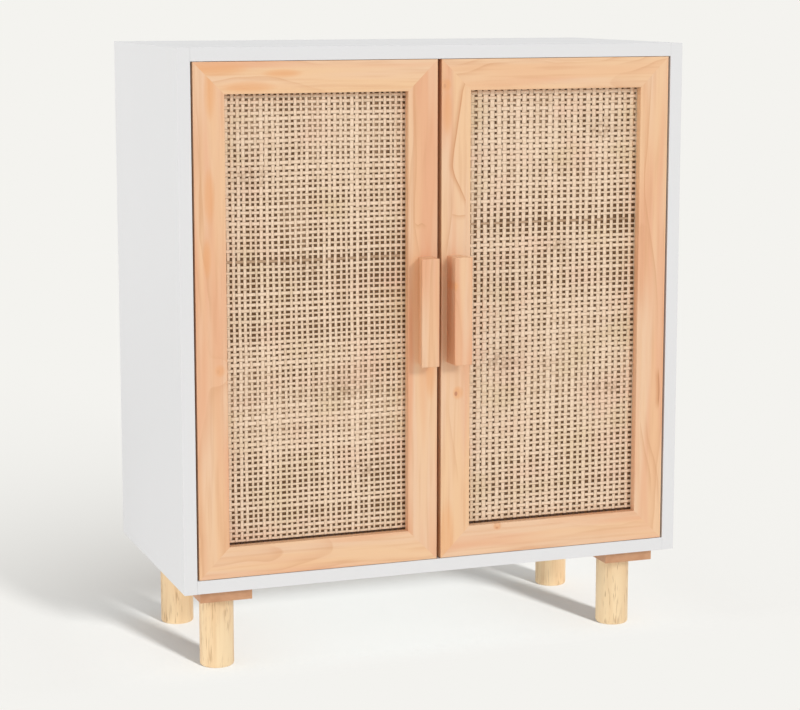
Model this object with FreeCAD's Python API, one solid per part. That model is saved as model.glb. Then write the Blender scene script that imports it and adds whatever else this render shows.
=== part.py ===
import FreeCAD, Part
import math
import os

# Small two-door cabinet on four round wooden legs.
# A white board carcass holds one movable shelf. The doors are set into the front: each is a
# mitred pine frame with a sheet of cane on a thin board, held in it by a pine bead, and a pine
# bar as its handle, undercut on the side away from the other door. The doors swing on knife
# hinges let into their top and bottom edges, and magnetic catches hold them shut.
#
# Frame: X to the right, Y to the back, Z up. The origin lies on the floor under the middle of
# the whole cabinet, handles included. What stands left and right is made once, on the left,
# and mirrored.

# ---------------------------------------------------------------- driving dimensions, mm
# carcass
CABINET_WIDTH = 600.0
CARCASS_DEPTH = 300.0
CABINET_HEIGHT = 700.0            # floor to top face
BOARD_THICKNESS = 15.0            # sides, top and bottom
BOARD_ARRIS = 0.5                 # rounding of the boards' outer edges
BACK_THICKNESS = 3.0
BACK_LAP = 7.0                    # width of the rebate that takes the back panel

# legs
LEG_DIAMETER = 39.0
LEG_HEIGHT = 85.0
LEG_SETBACK = 58.5                # carcass face to leg centre, front and back
LEG_FOOT_ROUND = 3.0
LEG_HEAD_ROUND = 0.5
LEG_RAIL_WIDTH = 60.0
LEG_RAIL_THICKNESS = 15.0
LEG_RAIL_INSET = 21.7             # from the carcass side
LEG_RAIL_SETBACK = 15.0           # from the carcass front and back
LEG_RAIL_ARRIS = 0.8

# shelf
SHELF_THICKNESS = 15.0
SHELF_SETBACK = 14.0              # behind the back faces of the doors
SHELF_GAP = 0.5                   # to the sides and the back panel
SHELF_HOLES = 5                   # heights that the shelf can take
SHELF_HOLE_PITCH = 32.0
SHELF_PIN_INSET = 32.0            # from the shelf's front and back edges
SHELF_PIN_DIAMETER = 5.0
SHELF_PIN_DEPTH = 8.0             # in the side panel
SHELF_SPADE_LENGTH = 12.0
SHELF_SPADE_WIDTH = 9.0
SHELF_SPADE_THICKNESS = 3.0

# doors
DOOR_THICKNESS = 18.0
DOOR_SIDE_GAP = 2.3
DOOR_CENTRE_GAP = 4.7
DOOR_END_GAP = 0.4
FRAME_WIDTH = 29.0                # flat face of stiles and rails, outside the bead
FRAME_ARRIS = 1.0
BEAD_WIDTH = 6.0
BEAD_DEPTH = 10.0                 # front face of the frame to the cane
BEAD_ARRIS = 0.8
JOINT_ARRIS = 0.15                # on both sides of the joint between frame and bead
CANE_THICKNESS = 2.0
BACKING_THICKNESS = 2.0           # board behind the cane
PANEL_EDGE_GAP = 0.5              # cane and board to the frame around them
FRAME_DOWEL_DIAMETER = 6.0
FRAME_DOWEL_LENGTH = 20.0
FRAME_DOWEL_DEPTH = 11.5          # front face of the frame to dowel centre
FRAME_DOWEL_OUTER = 13.0          # from the outside edge of the corner
FRAME_DOWEL_INNER = 7.0           # from the inside edge of the flat face

# handles
HANDLE_WIDTH = 21.0
HANDLE_PROJECTION = 25.0
HANDLE_LENGTH = 122.0
HANDLE_ARRIS = 0.8
HANDLE_UNDERCUT = 6.0             # the outer side at the door, behind its front edge
HANDLE_INSET = 7.0                # from the meeting edge of the door
HANDLE_RAISE = 4.0                # middle of the door to the middle of the handle
HANDLE_SCREW_SPACING = 80.0
HANDLE_SCREW_BITE = 14.0          # length of the screw inside the handle
HANDLE_SCREW_DIAMETER = 4.0
HANDLE_SCREW_HEAD_DIAMETER = 8.0
HANDLE_SCREW_HEAD_HEIGHT = 2.4

# knife hinges
PIVOT_INSET = 9.0                 # hinge edge of the door to the pivot
PIVOT_SETBACK = 5.5               # front face of the door to the pivot
PIVOT_PIN_DIAMETER = 5.0
PIVOT_PIN_END_GAP = 0.3
LEAF_WIDTH = 9.0
LEAF_LENGTH = 45.0
LEAF_THICKNESS = 2.5
LEAF_SCREW_OFFSETS = (14.0, 30.0) # from the pivot
WASHER_DIAMETER = 8.0

# magnetic catches
CATCH_INSET = 45.0                # meeting edge of the door to the catch centre
CATCH_WIDTH = 28.0
CATCH_DEPTH = 12.0
CATCH_HEIGHT = 14.0
CATCH_FLANGE_LENGTH = 8.0
CATCH_FLANGE_THICKNESS = 3.0
CATCH_SCREW_SPACING = 16.0
CATCH_ARRIS = 1.0
CATCH_GAP = 0.3                   # catch to strike plate, door shut
MAGNET_WIDTH = 18.0
MAGNET_DEPTH = 9.0
MAGNET_THICKNESS = 6.0
POLE_THICKNESS = 1.5
MAGNET_DROP = 2.5                 # underside of the top panel to the upper pole plate
STRIKE_WIDTH = 30.0
STRIKE_HEIGHT = 12.0
STRIKE_THICKNESS = 1.0
STRIKE_DROP = 9.0                 # top edge of the door to the plate's centre
STRIKE_SCREW_SPACING = 20.0

# joinery of the carcass
CARCASS_DOWEL_DIAMETER = 8.0
CARCASS_DOWEL_LENGTH = 30.0
CARCASS_DOWEL_IN_SIDE = 10.0
CARCASS_DOWEL_SPREAD = 40.0       # each side of the middle of the depth
CAM_DIAMETER = 15.0
CAM_HEIGHT = 12.0
CAM_DISTANCE = 24.0               # board end to cam centre
CAM_SETBACK = 50.0                # carcass front and back panel to cam centre
CAM_BOLT_THREAD_DIAMETER = 5.0
CAM_BOLT_THREAD_LENGTH = 10.0
CAM_BOLT_BODY_DIAMETER = 7.0
CAM_BOLT_NECK_DIAMETER = 3.6
CAM_BOLT_HEAD_DIAMETER = 6.4
CAM_BOLT_HEAD_LENGTH = 4.0

# fasteners
SMALL_SCREW_DIAMETER = 3.0
SMALL_SCREW_HEAD_DIAMETER = 5.6
SMALL_SCREW_LENGTH = 11.0
RAIL_SCREW_DIAMETER = 4.0
RAIL_SCREW_HEAD_DIAMETER = 8.0
RAIL_SCREW_LENGTH = 25.0
RAIL_SCREW_END_INSET = 15.0       # from each end of the leg rail
LEG_BOLT_DIAMETER = 8.0
LEG_BOLT_IN_LEG = 25.0
LEG_INSERT_DIAMETER = 11.0
LEG_INSERT_HEIGHT = 12.0
NAIL_DIAMETER = 1.4
NAIL_LENGTH = 18.0
NAIL_HEAD_DIAMETER = 3.5
NAIL_HEAD_HEIGHT = 0.8
NAIL_PITCH = 120.0                # largest distance between nails
RECESS_WIDTH = 0.7                # cross recess in a screw head
RECESS_DEPTH = 1.2

# fits
RUNNING_CLEARANCE = 0.05          # radial, pivot pin in the door's hinge leaf
PRESS_CLEARANCE = 0.01            # radial, pivot pin in the carcass's hinge leaf
SEAT_CLEARANCE = 0.05             # round and let-in pieces in their holes
HOLE_SPARE_DEPTH = 0.5            # blind holes run past the end of what they hold
BACK_CLEARANCE = 0.3              # back panel in its rebate

# ---------------------------------------------------------------- planes and places
SIDE_X = -CABINET_WIDTH / 2                       # outside of the left side
INNER_X = SIDE_X + BOARD_THICKNESS
WHOLE_DEPTH = CARCASS_DEPTH + HANDLE_PROJECTION
FRONT_Y = HANDLE_PROJECTION - WHOLE_DEPTH / 2     # front of boards and doors
REAR_Y = FRONT_Y + CARCASS_DEPTH
BACK_PANEL_Y = REAR_Y - BACK_THICKNESS
MIDDLE_Y = (FRONT_Y + REAR_Y) / 2
CARCASS_Z = LEG_HEIGHT + LEG_RAIL_THICKNESS
TOP_Z = CABINET_HEIGHT
FLOOR_Z = CARCASS_Z + BOARD_THICKNESS             # inside face of the bottom panel
CEILING_Z = TOP_Z - BOARD_THICKNESS               # inside face of the top panel

DOOR_LEFT = INNER_X + DOOR_SIDE_GAP
DOOR_RIGHT = -DOOR_CENTRE_GAP / 2
DOOR_LOW = FLOOR_Z + DOOR_END_GAP
DOOR_HIGH = CEILING_Z - DOOR_END_GAP
DOOR_BACK_Y = FRONT_Y + DOOR_THICKNESS
CANE_Y = FRONT_Y + BEAD_DEPTH
BACKING_Y = CANE_Y + CANE_THICKNESS
MEMBER_WIDTH = FRAME_WIDTH + BEAD_WIDTH           # stile or rail with the lip behind the board

SHELF_FRONT_Y = DOOR_BACK_Y + SHELF_SETBACK
SHELF_BACK_Y = BACK_PANEL_Y - SHELF_GAP
SHELF_PIN_YS = (SHELF_FRONT_Y + SHELF_PIN_INSET, SHELF_BACK_Y - SHELF_PIN_INSET)
SHELF_HOLE_Z = (FLOOR_Z + CEILING_Z - SHELF_THICKNESS - SHELF_PIN_DIAMETER) / 2
SHELF_Z = SHELF_HOLE_Z + SHELF_PIN_DIAMETER / 2   # underside of the shelf

RAIL_LEFT = SIDE_X + LEG_RAIL_INSET
RAIL_X = RAIL_LEFT + LEG_RAIL_WIDTH / 2
RAIL_FRONT_Y = FRONT_Y + LEG_RAIL_SETBACK
RAIL_BACK_Y = REAR_Y - LEG_RAIL_SETBACK
LEG_YS = {"front": FRONT_Y + LEG_SETBACK, "back": REAR_Y - LEG_SETBACK}

PIVOT_X = DOOR_LEFT + PIVOT_INSET
PIVOT_Y = FRONT_Y + PIVOT_SETBACK
CATCH_X = DOOR_RIGHT - CATCH_INSET
CATCH_Y = DOOR_BACK_Y + STRIKE_THICKNESS + CATCH_GAP
HANDLE_X = DOOR_RIGHT - HANDLE_INSET - HANDLE_WIDTH / 2
HANDLE_Z = (DOOR_LOW + DOOR_HIGH) / 2 + HANDLE_RAISE
CAM_YS = (FRONT_Y + CAM_SETBACK, BACK_PANEL_Y - CAM_SETBACK)
CARCASS_DOWEL_YS = (MIDDLE_Y - CARCASS_DOWEL_SPREAD, MIDDLE_Y + CARCASS_DOWEL_SPREAD)

UP = FreeCAD.Vector(0, 0, 1)
DOWN = FreeCAD.Vector(0, 0, -1)
LEFT = FreeCAD.Vector(-1, 0, 0)
RIGHT = FreeCAD.Vector(1, 0, 0)
FORWARD = FreeCAD.Vector(0, -1, 0)
ORIGIN = FreeCAD.Vector(0, 0, 0)


# ---------------------------------------------------------------- helpers
def box(low, high):
    """A block between two opposite corners."""
    size = [b - a for a, b in zip(low, high)]
    return Part.makeBox(size[0], size[1], size[2], FreeCAD.Vector(*low))


def rod(start, direction, diameter, length, grow=0.0):
    """A round bar; grow widens its radius, for the hole that takes it."""
    return Part.makeCylinder(diameter / 2 + grow, length, start, direction)


def placed(shape, point, direction):
    """Turn a shape made along +Z to point along direction, and move it to point."""
    shape.Placement = FreeCAD.Placement(point, FreeCAD.Rotation(UP, direction))
    return shape


def mirrored(shape):
    return shape.mirror(ORIGIN, RIGHT)


def both_sides(shapes):
    return list(shapes) + [mirrored(shape) for shape in shapes]


def cut_all(shape, tools):
    return shape.cut(Part.makeCompound(list(tools)))


def group(shapes):
    return Part.makeCompound(list(shapes))


def rounded(shape, radius, chosen):
    """Round the straight edges for which chosen(middle of the edge, its direction) is true."""
    edges = []
    for edge in shape.Edges:
        first, last = edge.Vertexes[0].Point, edge.Vertexes[-1].Point
        if chosen((first + last) * 0.5, (last - first).normalize()):
            edges.append(edge)
    return shape.makeFillet(radius, edges)


def near(a, b):
    return abs(a - b) < 1e-6


def stadium(centre_a, centre_b, width, low_z, high_z, grow=0.0):
    """A flat bar with round ends, between two end centres on a line along X."""
    radius = width / 2 + grow
    height = high_z - low_z
    ends = [Part.makeCylinder(radius, height, FreeCAD.Vector(x, centre_a[1], low_z), UP)
            for x in (centre_a[0], centre_b[0])]
    middle = box((centre_a[0], centre_a[1] - radius, low_z),
                 (centre_b[0], centre_a[1] + radius, high_z))
    return ends[0].fuse([ends[1], middle]).removeSplitter()


def countersunk_screw(point, direction, diameter, head_diameter, length):
    """A screw whose flat head lies at point and whose tip points along direction."""
    radius, head_radius = diameter / 2, head_diameter / 2
    head_height = head_radius - radius
    tip = diameter
    outline = [FreeCAD.Vector(r, 0, z) for r, z in
               ((0, 0), (head_radius, 0), (radius, head_height), (radius, length - tip),
                (0, length), (0, 0))]
    body = Part.Face(Part.makePolygon(outline)).revolve(ORIGIN, UP, 360)
    return placed(body.cut(cross_recess(radius)), point, direction)


def countersunk_hole(point, direction, diameter, head_diameter, length):
    """The hole that such a screw sits in, a seat clearance wider all over."""
    radius = diameter / 2 + SEAT_CLEARANCE
    head_radius = head_diameter / 2 + SEAT_CLEARANCE
    head_height = head_radius - radius
    head = Part.makeCone(head_radius, radius, head_height)
    shank = Part.makeCylinder(radius, length + HOLE_SPARE_DEPTH)
    return placed(head.fuse(shank), point, direction)


def cross_recess(reach, start=0.0):
    """The two crossed slots that a screwdriver turns."""
    half = RECESS_WIDTH / 2
    slot = box((-reach, -half, start), (reach, half, start + RECESS_DEPTH))
    other = box((-half, -reach, start), (half, reach, start + RECESS_DEPTH))
    return slot.fuse(other)


def right_angled_face(points, radii):
    """A flat face in the YZ plane whose right-angled corners are rounded by radii."""
    count = len(points)
    vectors = [FreeCAD.Vector(0, y, z) for y, z in points]
    edges, starts, ends = [], [], []
    for i, corner in enumerate(vectors):
        to_last = (vectors[i - 1] - corner).normalize()
        to_next = (vectors[(i + 1) % count] - corner).normalize()
        starts.append(corner + to_last * radii[i])
        ends.append(corner + to_next * radii[i])
        if radii[i] > 0:
            middle = corner + (to_last + to_next) * (radii[i] * (1 - math.sqrt(0.5)))
            edges.append(Part.Arc(starts[i], middle, ends[i]).toShape())
    for i in range(count):
        edges.append(Part.LineSegment(ends[i], starts[(i + 1) % count]).toShape())
    return Part.Face(Part.Wire(Part.__sortEdges__(edges)))


def mitred_ring(left, low, right, high, front_y, section, width):
    """Four bars with 45 degree corners around a rectangle, in the order bottom, right, top, left.

    section(y, z) is the bars' cross-section with Y from front to back and Z from the outside
    edge inwards, as for the bottom bar.
    """
    wide, tall = right - left, high - low
    corners = ((left, low, wide), (right, low, tall), (right, high, wide), (left, high, tall))
    bars = []
    for turn, (x, z, length) in enumerate(corners):
        bar = section.extrude(FreeCAD.Vector(length, 0, 0))
        depth = bar.BoundBox.YMax
        outline = [FreeCAD.Vector(a, 0, b) for a, b in
                   ((0, 0), (length, 0), (length - width, width), (width, width), (0, 0))]
        wedge = Part.Face(Part.makePolygon(outline)).extrude(FreeCAD.Vector(0, depth, 0))
        bar = bar.common(wedge)
        bar.Placement = FreeCAD.Placement(FreeCAD.Vector(x, front_y, z),
                                          FreeCAD.Rotation(FreeCAD.Vector(0, 1, 0), -90 * turn))
        bars.append(bar)
    return bars


# ---------------------------------------------------------------- fasteners of the carcass
def cam_joints():
    """Cam bolts, cams and the holes for both, at the left ends of the top and bottom panels."""
    bolts, cams, side_holes, board_holes = [], [], [], []
    bolt_end = CAM_DISTANCE + CAM_BOLT_HEAD_LENGTH / 2
    neck_start = CAM_DISTANCE - CAM_DIAMETER / 2 - HOLE_SPARE_DEPTH
    head_start = bolt_end - CAM_BOLT_HEAD_LENGTH
    for board_z, face_z in (((TOP_Z + CEILING_Z) / 2, CEILING_Z),
                            ((CARCASS_Z + FLOOR_Z) / 2, CARCASS_Z)):
        for y in CAM_YS:
            joint = FreeCAD.Vector(INNER_X, y, board_z)
            thread = rod(joint, LEFT, CAM_BOLT_THREAD_DIAMETER, CAM_BOLT_THREAD_LENGTH)
            body = rod(joint, RIGHT, CAM_BOLT_BODY_DIAMETER, neck_start)
            neck = rod(joint, RIGHT, CAM_BOLT_NECK_DIAMETER, bolt_end)
            head = rod(joint + RIGHT * head_start, RIGHT, CAM_BOLT_HEAD_DIAMETER,
                       CAM_BOLT_HEAD_LENGTH)
            bolts.append(thread.fuse([body, neck, head]).removeSplitter())
            side_holes.append(rod(joint, LEFT, CAM_BOLT_THREAD_DIAMETER,
                                  CAM_BOLT_THREAD_LENGTH + HOLE_SPARE_DEPTH, SEAT_CLEARANCE))

            centre = FreeCAD.Vector(INNER_X + CAM_DISTANCE, y, face_z)
            cam = rod(centre, UP, CAM_DIAMETER, CAM_HEIGHT)
            entry = rod(joint, RIGHT, CAM_BOLT_NECK_DIAMETER, CAM_DISTANCE, SEAT_CLEARANCE)
            chamber = rod(joint + RIGHT * (head_start - HOLE_SPARE_DEPTH), RIGHT,
                          CAM_BOLT_HEAD_DIAMETER, CAM_BOLT_HEAD_LENGTH + 2 * HOLE_SPARE_DEPTH,
                          SEAT_CLEARANCE)
            turn_slot = placed(cross_recess(CAM_BOLT_HEAD_DIAMETER / 2), centre, UP)
            cams.append(cut_all(cam, (entry, chamber, turn_slot)))
            board_holes.append(rod(centre, UP, CAM_DIAMETER,
                                   CAM_HEIGHT + HOLE_SPARE_DEPTH, SEAT_CLEARANCE))
            board_holes.append(rod(joint, RIGHT, CAM_BOLT_BODY_DIAMETER, CAM_DISTANCE,
                                   SEAT_CLEARANCE))
    return bolts, cams, side_holes, board_holes


def carcass_dowels():
    """Wooden dowels that line the left ends of the top and bottom panels up with the side."""
    dowels, holes = [], []
    for z in ((TOP_Z + CEILING_Z) / 2, (CARCASS_Z + FLOOR_Z) / 2):
        for y in CARCASS_DOWEL_YS:
            start = FreeCAD.Vector(INNER_X - CARCASS_DOWEL_IN_SIDE, y, z)
            dowels.append(rod(start, RIGHT, CARCASS_DOWEL_DIAMETER, CARCASS_DOWEL_LENGTH))
            holes.append(rod(start + LEFT * HOLE_SPARE_DEPTH, RIGHT, CARCASS_DOWEL_DIAMETER,
                             CARCASS_DOWEL_LENGTH + 2 * HOLE_SPARE_DEPTH, SEAT_CLEARANCE))
    return dowels, holes


def back_nails():
    """Nails around the back panel, through it and into the four boards."""
    half_width = -INNER_X + BACK_LAP / 2
    low, high = FLOOR_Z - BACK_LAP / 2, CEILING_Z + BACK_LAP / 2
    across = math.ceil(2 * half_width / NAIL_PITCH)
    upwards = math.ceil((high - low) / NAIL_PITCH)
    places = [(-half_width + 2 * half_width * i / across, z)
              for i in range(across + 1) for z in (low, high)]
    places += [(x, low + (high - low) * i / upwards)
               for i in range(1, upwards) for x in (-half_width, half_width)]
    nails, holes = [], []
    for x, z in places:
        point = FreeCAD.Vector(x, REAR_Y, z)
        head = rod(point, FORWARD, NAIL_HEAD_DIAMETER, NAIL_HEAD_HEIGHT)
        nails.append(head.fuse(rod(point, FORWARD, NAIL_DIAMETER, NAIL_LENGTH)).removeSplitter())
        pocket = rod(point, FORWARD, NAIL_HEAD_DIAMETER, NAIL_HEAD_HEIGHT, SEAT_CLEARANCE)
        holes.append(pocket.fuse(rod(point, FORWARD, NAIL_DIAMETER,
                                     NAIL_LENGTH + HOLE_SPARE_DEPTH, SEAT_CLEARANCE)))
    return nails, holes


def shelf_pins():
    """Spade pins under the left end of the shelf, and the rows of holes that take them."""
    pins, holes = [], []
    for y in SHELF_PIN_YS:
        start = FreeCAD.Vector(INNER_X, y, SHELF_HOLE_Z)
        pin = rod(start, LEFT, SHELF_PIN_DIAMETER, SHELF_PIN_DEPTH)
        spade = box((INNER_X, y - SHELF_SPADE_WIDTH / 2, SHELF_Z - SHELF_SPADE_THICKNESS),
                    (INNER_X + SHELF_SPADE_LENGTH, y + SHELF_SPADE_WIDTH / 2, SHELF_Z))
        pins.append(pin.fuse(spade))
        for i in range(SHELF_HOLES):
            lift = (i - (SHELF_HOLES - 1) / 2) * SHELF_HOLE_PITCH
            holes.append(rod(start + UP * lift, LEFT, SHELF_PIN_DIAMETER,
                             SHELF_PIN_DEPTH + HOLE_SPARE_DEPTH, SEAT_CLEARANCE))
    return pins, holes


# ---------------------------------------------------------------- hinges and catches
def knife_hinges():
    """The left door's two knife hinges: leaves, pins, washers, screws and their cut-outs."""
    frame_leaves, door_leaves, pins, washers = [], [], [], []
    frame_screws, door_screws, frame_cuts, door_cuts = [], [], [], []
    pivot = (PIVOT_X, PIVOT_Y)
    far_end = (PIVOT_X + LEAF_LENGTH - LEAF_WIDTH, PIVOT_Y)
    for frame_z, door_z, inwards in ((CEILING_Z, DOOR_HIGH, UP), (FLOOR_Z, DOOR_LOW, DOWN)):
        frame_end = frame_z + inwards.z * LEAF_THICKNESS
        door_end = door_z - inwards.z * LEAF_THICKNESS
        pin_end = door_end + inwards.z * PIVOT_PIN_END_GAP
        frame_span = sorted((frame_z, frame_end))
        door_span = sorted((door_z, door_end))
        pin_span = sorted((frame_end, pin_end))
        gap_span = sorted((frame_z, door_z))

        def on_pivot(span, diameter, grow=0.0):
            base = FreeCAD.Vector(PIVOT_X, PIVOT_Y, span[0])
            return rod(base, UP, diameter, span[1] - span[0], grow)

        frame_leaf = stadium(pivot, far_end, LEAF_WIDTH, *frame_span)
        frame_leaf = frame_leaf.cut(on_pivot(frame_span, PIVOT_PIN_DIAMETER, PRESS_CLEARANCE))
        door_leaf = stadium(pivot, far_end, LEAF_WIDTH, *door_span)
        door_leaf = door_leaf.cut(on_pivot(door_span, PIVOT_PIN_DIAMETER, RUNNING_CLEARANCE))
        frame_cuts.append(stadium(pivot, far_end, LEAF_WIDTH, *frame_span, grow=SEAT_CLEARANCE))
        door_cuts.append(stadium(pivot, far_end, LEAF_WIDTH, *door_span, grow=SEAT_CLEARANCE))

        for offset in LEAF_SCREW_OFFSETS:
            sizes = (SMALL_SCREW_DIAMETER, SMALL_SCREW_HEAD_DIAMETER, SMALL_SCREW_LENGTH)
            frame_point = FreeCAD.Vector(PIVOT_X + offset, PIVOT_Y, frame_z)
            door_point = FreeCAD.Vector(PIVOT_X + offset, PIVOT_Y, door_z)
            frame_screws.append(countersunk_screw(frame_point, inwards, *sizes))
            door_screws.append(countersunk_screw(door_point, -inwards, *sizes))
            frame_hole = countersunk_hole(frame_point, inwards, *sizes)
            door_hole = countersunk_hole(door_point, -inwards, *sizes)
            frame_leaf = frame_leaf.cut(frame_hole)
            door_leaf = door_leaf.cut(door_hole)
            frame_cuts.append(frame_hole)
            door_cuts.append(door_hole)

        frame_leaves.append(frame_leaf)
        door_leaves.append(door_leaf)
        pins.append(on_pivot(pin_span, PIVOT_PIN_DIAMETER))
        washers.append(on_pivot(gap_span, WASHER_DIAMETER).cut(
            on_pivot(gap_span, PIVOT_PIN_DIAMETER, SEAT_CLEARANCE)))
    return (frame_leaves, door_leaves, pins, washers, frame_screws, door_screws, frame_cuts,
            door_cuts)


def magnetic_catch():
    """The left door's catch under the top panel, and the strike plate on the door."""
    block = box((CATCH_X - CATCH_WIDTH / 2, CATCH_Y, CEILING_Z - CATCH_HEIGHT),
                (CATCH_X + CATCH_WIDTH / 2, CATCH_Y + CATCH_DEPTH, CEILING_Z))
    block = rounded(block, CATCH_ARRIS, lambda middle, way: near(abs(way.y), 1)
                    and near(middle.z, CEILING_Z - CATCH_HEIGHT))
    flange_end = CATCH_Y + CATCH_DEPTH + CATCH_FLANGE_LENGTH
    flange = box((CATCH_X - CATCH_WIDTH / 2, CATCH_Y, CEILING_Z - CATCH_FLANGE_THICKNESS),
                 (CATCH_X + CATCH_WIDTH / 2, flange_end, CEILING_Z))
    poles_high = CEILING_Z - MAGNET_DROP
    magnet_high = poles_high - POLE_THICKNESS
    magnet_low = magnet_high - MAGNET_THICKNESS
    poles_low = magnet_low - POLE_THICKNESS

    def slab(low, high):
        return box((CATCH_X - MAGNET_WIDTH / 2, CATCH_Y, low),
                   (CATCH_X + MAGNET_WIDTH / 2, CATCH_Y + MAGNET_DEPTH, high))

    screws, screw_holes = [], []
    for side in (-1, 1):
        point = FreeCAD.Vector(CATCH_X + side * CATCH_SCREW_SPACING / 2,
                               flange_end - CATCH_FLANGE_LENGTH / 2,
                               CEILING_Z - CATCH_FLANGE_THICKNESS)
        sizes = (SMALL_SCREW_DIAMETER, SMALL_SCREW_HEAD_DIAMETER, SMALL_SCREW_LENGTH)
        screws.append(countersunk_screw(point, UP, *sizes))
        screw_holes.append(countersunk_hole(point, UP, *sizes))
    housing = cut_all(block.fuse(flange).removeSplitter(),
                      [slab(poles_low, poles_high)] + screw_holes)
    poles = [slab(magnet_high, poles_high), slab(poles_low, magnet_low)]

    strike_z = DOOR_HIGH - STRIKE_DROP
    strike = box((CATCH_X - STRIKE_WIDTH / 2, DOOR_BACK_Y, strike_z - STRIKE_HEIGHT / 2),
                 (CATCH_X + STRIKE_WIDTH / 2, DOOR_BACK_Y + STRIKE_THICKNESS,
                  strike_z + STRIKE_HEIGHT / 2))
    strike_screws, strike_holes = [], []
    for side in (-1, 1):
        point = FreeCAD.Vector(CATCH_X + side * STRIKE_SCREW_SPACING / 2,
                               DOOR_BACK_Y + STRIKE_THICKNESS, strike_z)
        sizes = (SMALL_SCREW_DIAMETER, SMALL_SCREW_HEAD_DIAMETER, SMALL_SCREW_LENGTH)
        strike_screws.append(countersunk_screw(point, FORWARD, *sizes))
        strike_holes.append(countersunk_hole(point, FORWARD, *sizes))
    strike = cut_all(strike, strike_holes)
    return (housing, slab(magnet_low, magnet_high), poles, screws, screw_holes, strike,
            strike_screws, strike_holes)


# ---------------------------------------------------------------- doors
def door_frame():
    """The left door's mitred stiles and rails, before anything is cut into them."""
    seat = BEAD_DEPTH + CANE_THICKNESS + BACKING_THICKNESS
    section = right_angled_face(
        ((0, 0), (0, FRAME_WIDTH), (seat, FRAME_WIDTH), (seat, MEMBER_WIDTH),
         (DOOR_THICKNESS, MEMBER_WIDTH), (DOOR_THICKNESS, 0)),
        (FRAME_ARRIS, JOINT_ARRIS, 0, 0, FRAME_ARRIS, FRAME_ARRIS))
    return mitred_ring(DOOR_LEFT, DOOR_LOW, DOOR_RIGHT, DOOR_HIGH, FRONT_Y, section,
                       MEMBER_WIDTH)


def cane_beads():
    section = right_angled_face(
        ((0, 0), (0, BEAD_WIDTH), (BEAD_DEPTH, BEAD_WIDTH), (BEAD_DEPTH, 0)),
        (JOINT_ARRIS, BEAD_ARRIS, 0, 0))
    return mitred_ring(DOOR_LEFT + FRAME_WIDTH, DOOR_LOW + FRAME_WIDTH,
                       DOOR_RIGHT - FRAME_WIDTH, DOOR_HIGH - FRAME_WIDTH, FRONT_Y, section,
                       BEAD_WIDTH)


def sheet_in_frame(front_y, thickness):
    """A flat sheet in the left door's rebate, behind the beads."""
    inset = FRAME_WIDTH + PANEL_EDGE_GAP
    return box((DOOR_LEFT + inset, front_y, DOOR_LOW + inset),
               (DOOR_RIGHT - inset, front_y + thickness, DOOR_HIGH - inset))


def frame_dowels():
    """Dowels across the four mitres of the left door, and their holes."""
    dowels, holes = [], []
    y = FRONT_Y + FRAME_DOWEL_DEPTH
    for x, z, right, up in ((DOOR_LEFT, DOOR_LOW, 1, 1), (DOOR_RIGHT, DOOR_LOW, -1, 1),
                            (DOOR_RIGHT, DOOR_HIGH, -1, -1), (DOOR_LEFT, DOOR_HIGH, 1, -1)):
        across = FreeCAD.Vector(right, 0, -up).normalize()
        for inset in (FRAME_DOWEL_OUTER, FRAME_WIDTH - FRAME_DOWEL_INNER):
            centre = FreeCAD.Vector(x + right * inset, y, z + up * inset)
            start = centre - across * (FRAME_DOWEL_LENGTH / 2)
            dowels.append(rod(start, across, FRAME_DOWEL_DIAMETER, FRAME_DOWEL_LENGTH))
            holes.append(rod(start - across * HOLE_SPARE_DEPTH, across, FRAME_DOWEL_DIAMETER,
                             FRAME_DOWEL_LENGTH + 2 * HOLE_SPARE_DEPTH, SEAT_CLEARANCE))
    return dowels, holes


def handle_with_screws():
    """The left door's bar handle and the two screws through the meeting stile."""
    outer_x, inner_x = HANDLE_X - HANDLE_WIDTH / 2, HANDLE_X + HANDLE_WIDTH / 2
    foot_x = outer_x + HANDLE_UNDERCUT
    low_z = HANDLE_Z - HANDLE_LENGTH / 2
    outline = [FreeCAD.Vector(x, y, low_z) for x, y in
               ((foot_x, FRONT_Y), (outer_x, FRONT_Y - HANDLE_PROJECTION),
                (inner_x, FRONT_Y - HANDLE_PROJECTION), (inner_x, FRONT_Y), (foot_x, FRONT_Y))]
    bar = Part.Face(Part.makePolygon(outline)).extrude(UP * HANDLE_LENGTH)
    bar = rounded(bar, HANDLE_ARRIS, lambda middle, way: not near(middle.y, FRONT_Y))
    screw_x = (foot_x + inner_x) / 2
    length = DOOR_THICKNESS + HANDLE_SCREW_BITE
    screws, holes = [], []
    for side in (-1, 1):
        point = FreeCAD.Vector(screw_x, DOOR_BACK_Y, HANDLE_Z + side * HANDLE_SCREW_SPACING / 2)
        shank = Part.makeCylinder(HANDLE_SCREW_DIAMETER / 2, length)
        head = Part.makeCylinder(HANDLE_SCREW_HEAD_DIAMETER / 2, HANDLE_SCREW_HEAD_HEIGHT,
                                 DOWN * HANDLE_SCREW_HEAD_HEIGHT, UP)
        recess = cross_recess(HANDLE_SCREW_DIAMETER / 2, -HANDLE_SCREW_HEAD_HEIGHT)
        screw = shank.fuse(head).removeSplitter().cut(recess)
        screws.append(placed(screw, point, FORWARD))
        holes.append(rod(point, FORWARD, HANDLE_SCREW_DIAMETER, length + HOLE_SPARE_DEPTH,
                         SEAT_CLEARANCE))
    return cut_all(bar, holes), screws, holes


# ---------------------------------------------------------------- carcass
def side_panel(cuts):
    panel = box((SIDE_X, FRONT_Y, CARCASS_Z), (INNER_X, REAR_Y, TOP_Z))
    panel = rounded(panel, BOARD_ARRIS, lambda middle, way: near(middle.x, SIDE_X)
                    or (near(middle.x, INNER_X) and near(middle.y, FRONT_Y)))
    return cut_all(panel, cuts)


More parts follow.
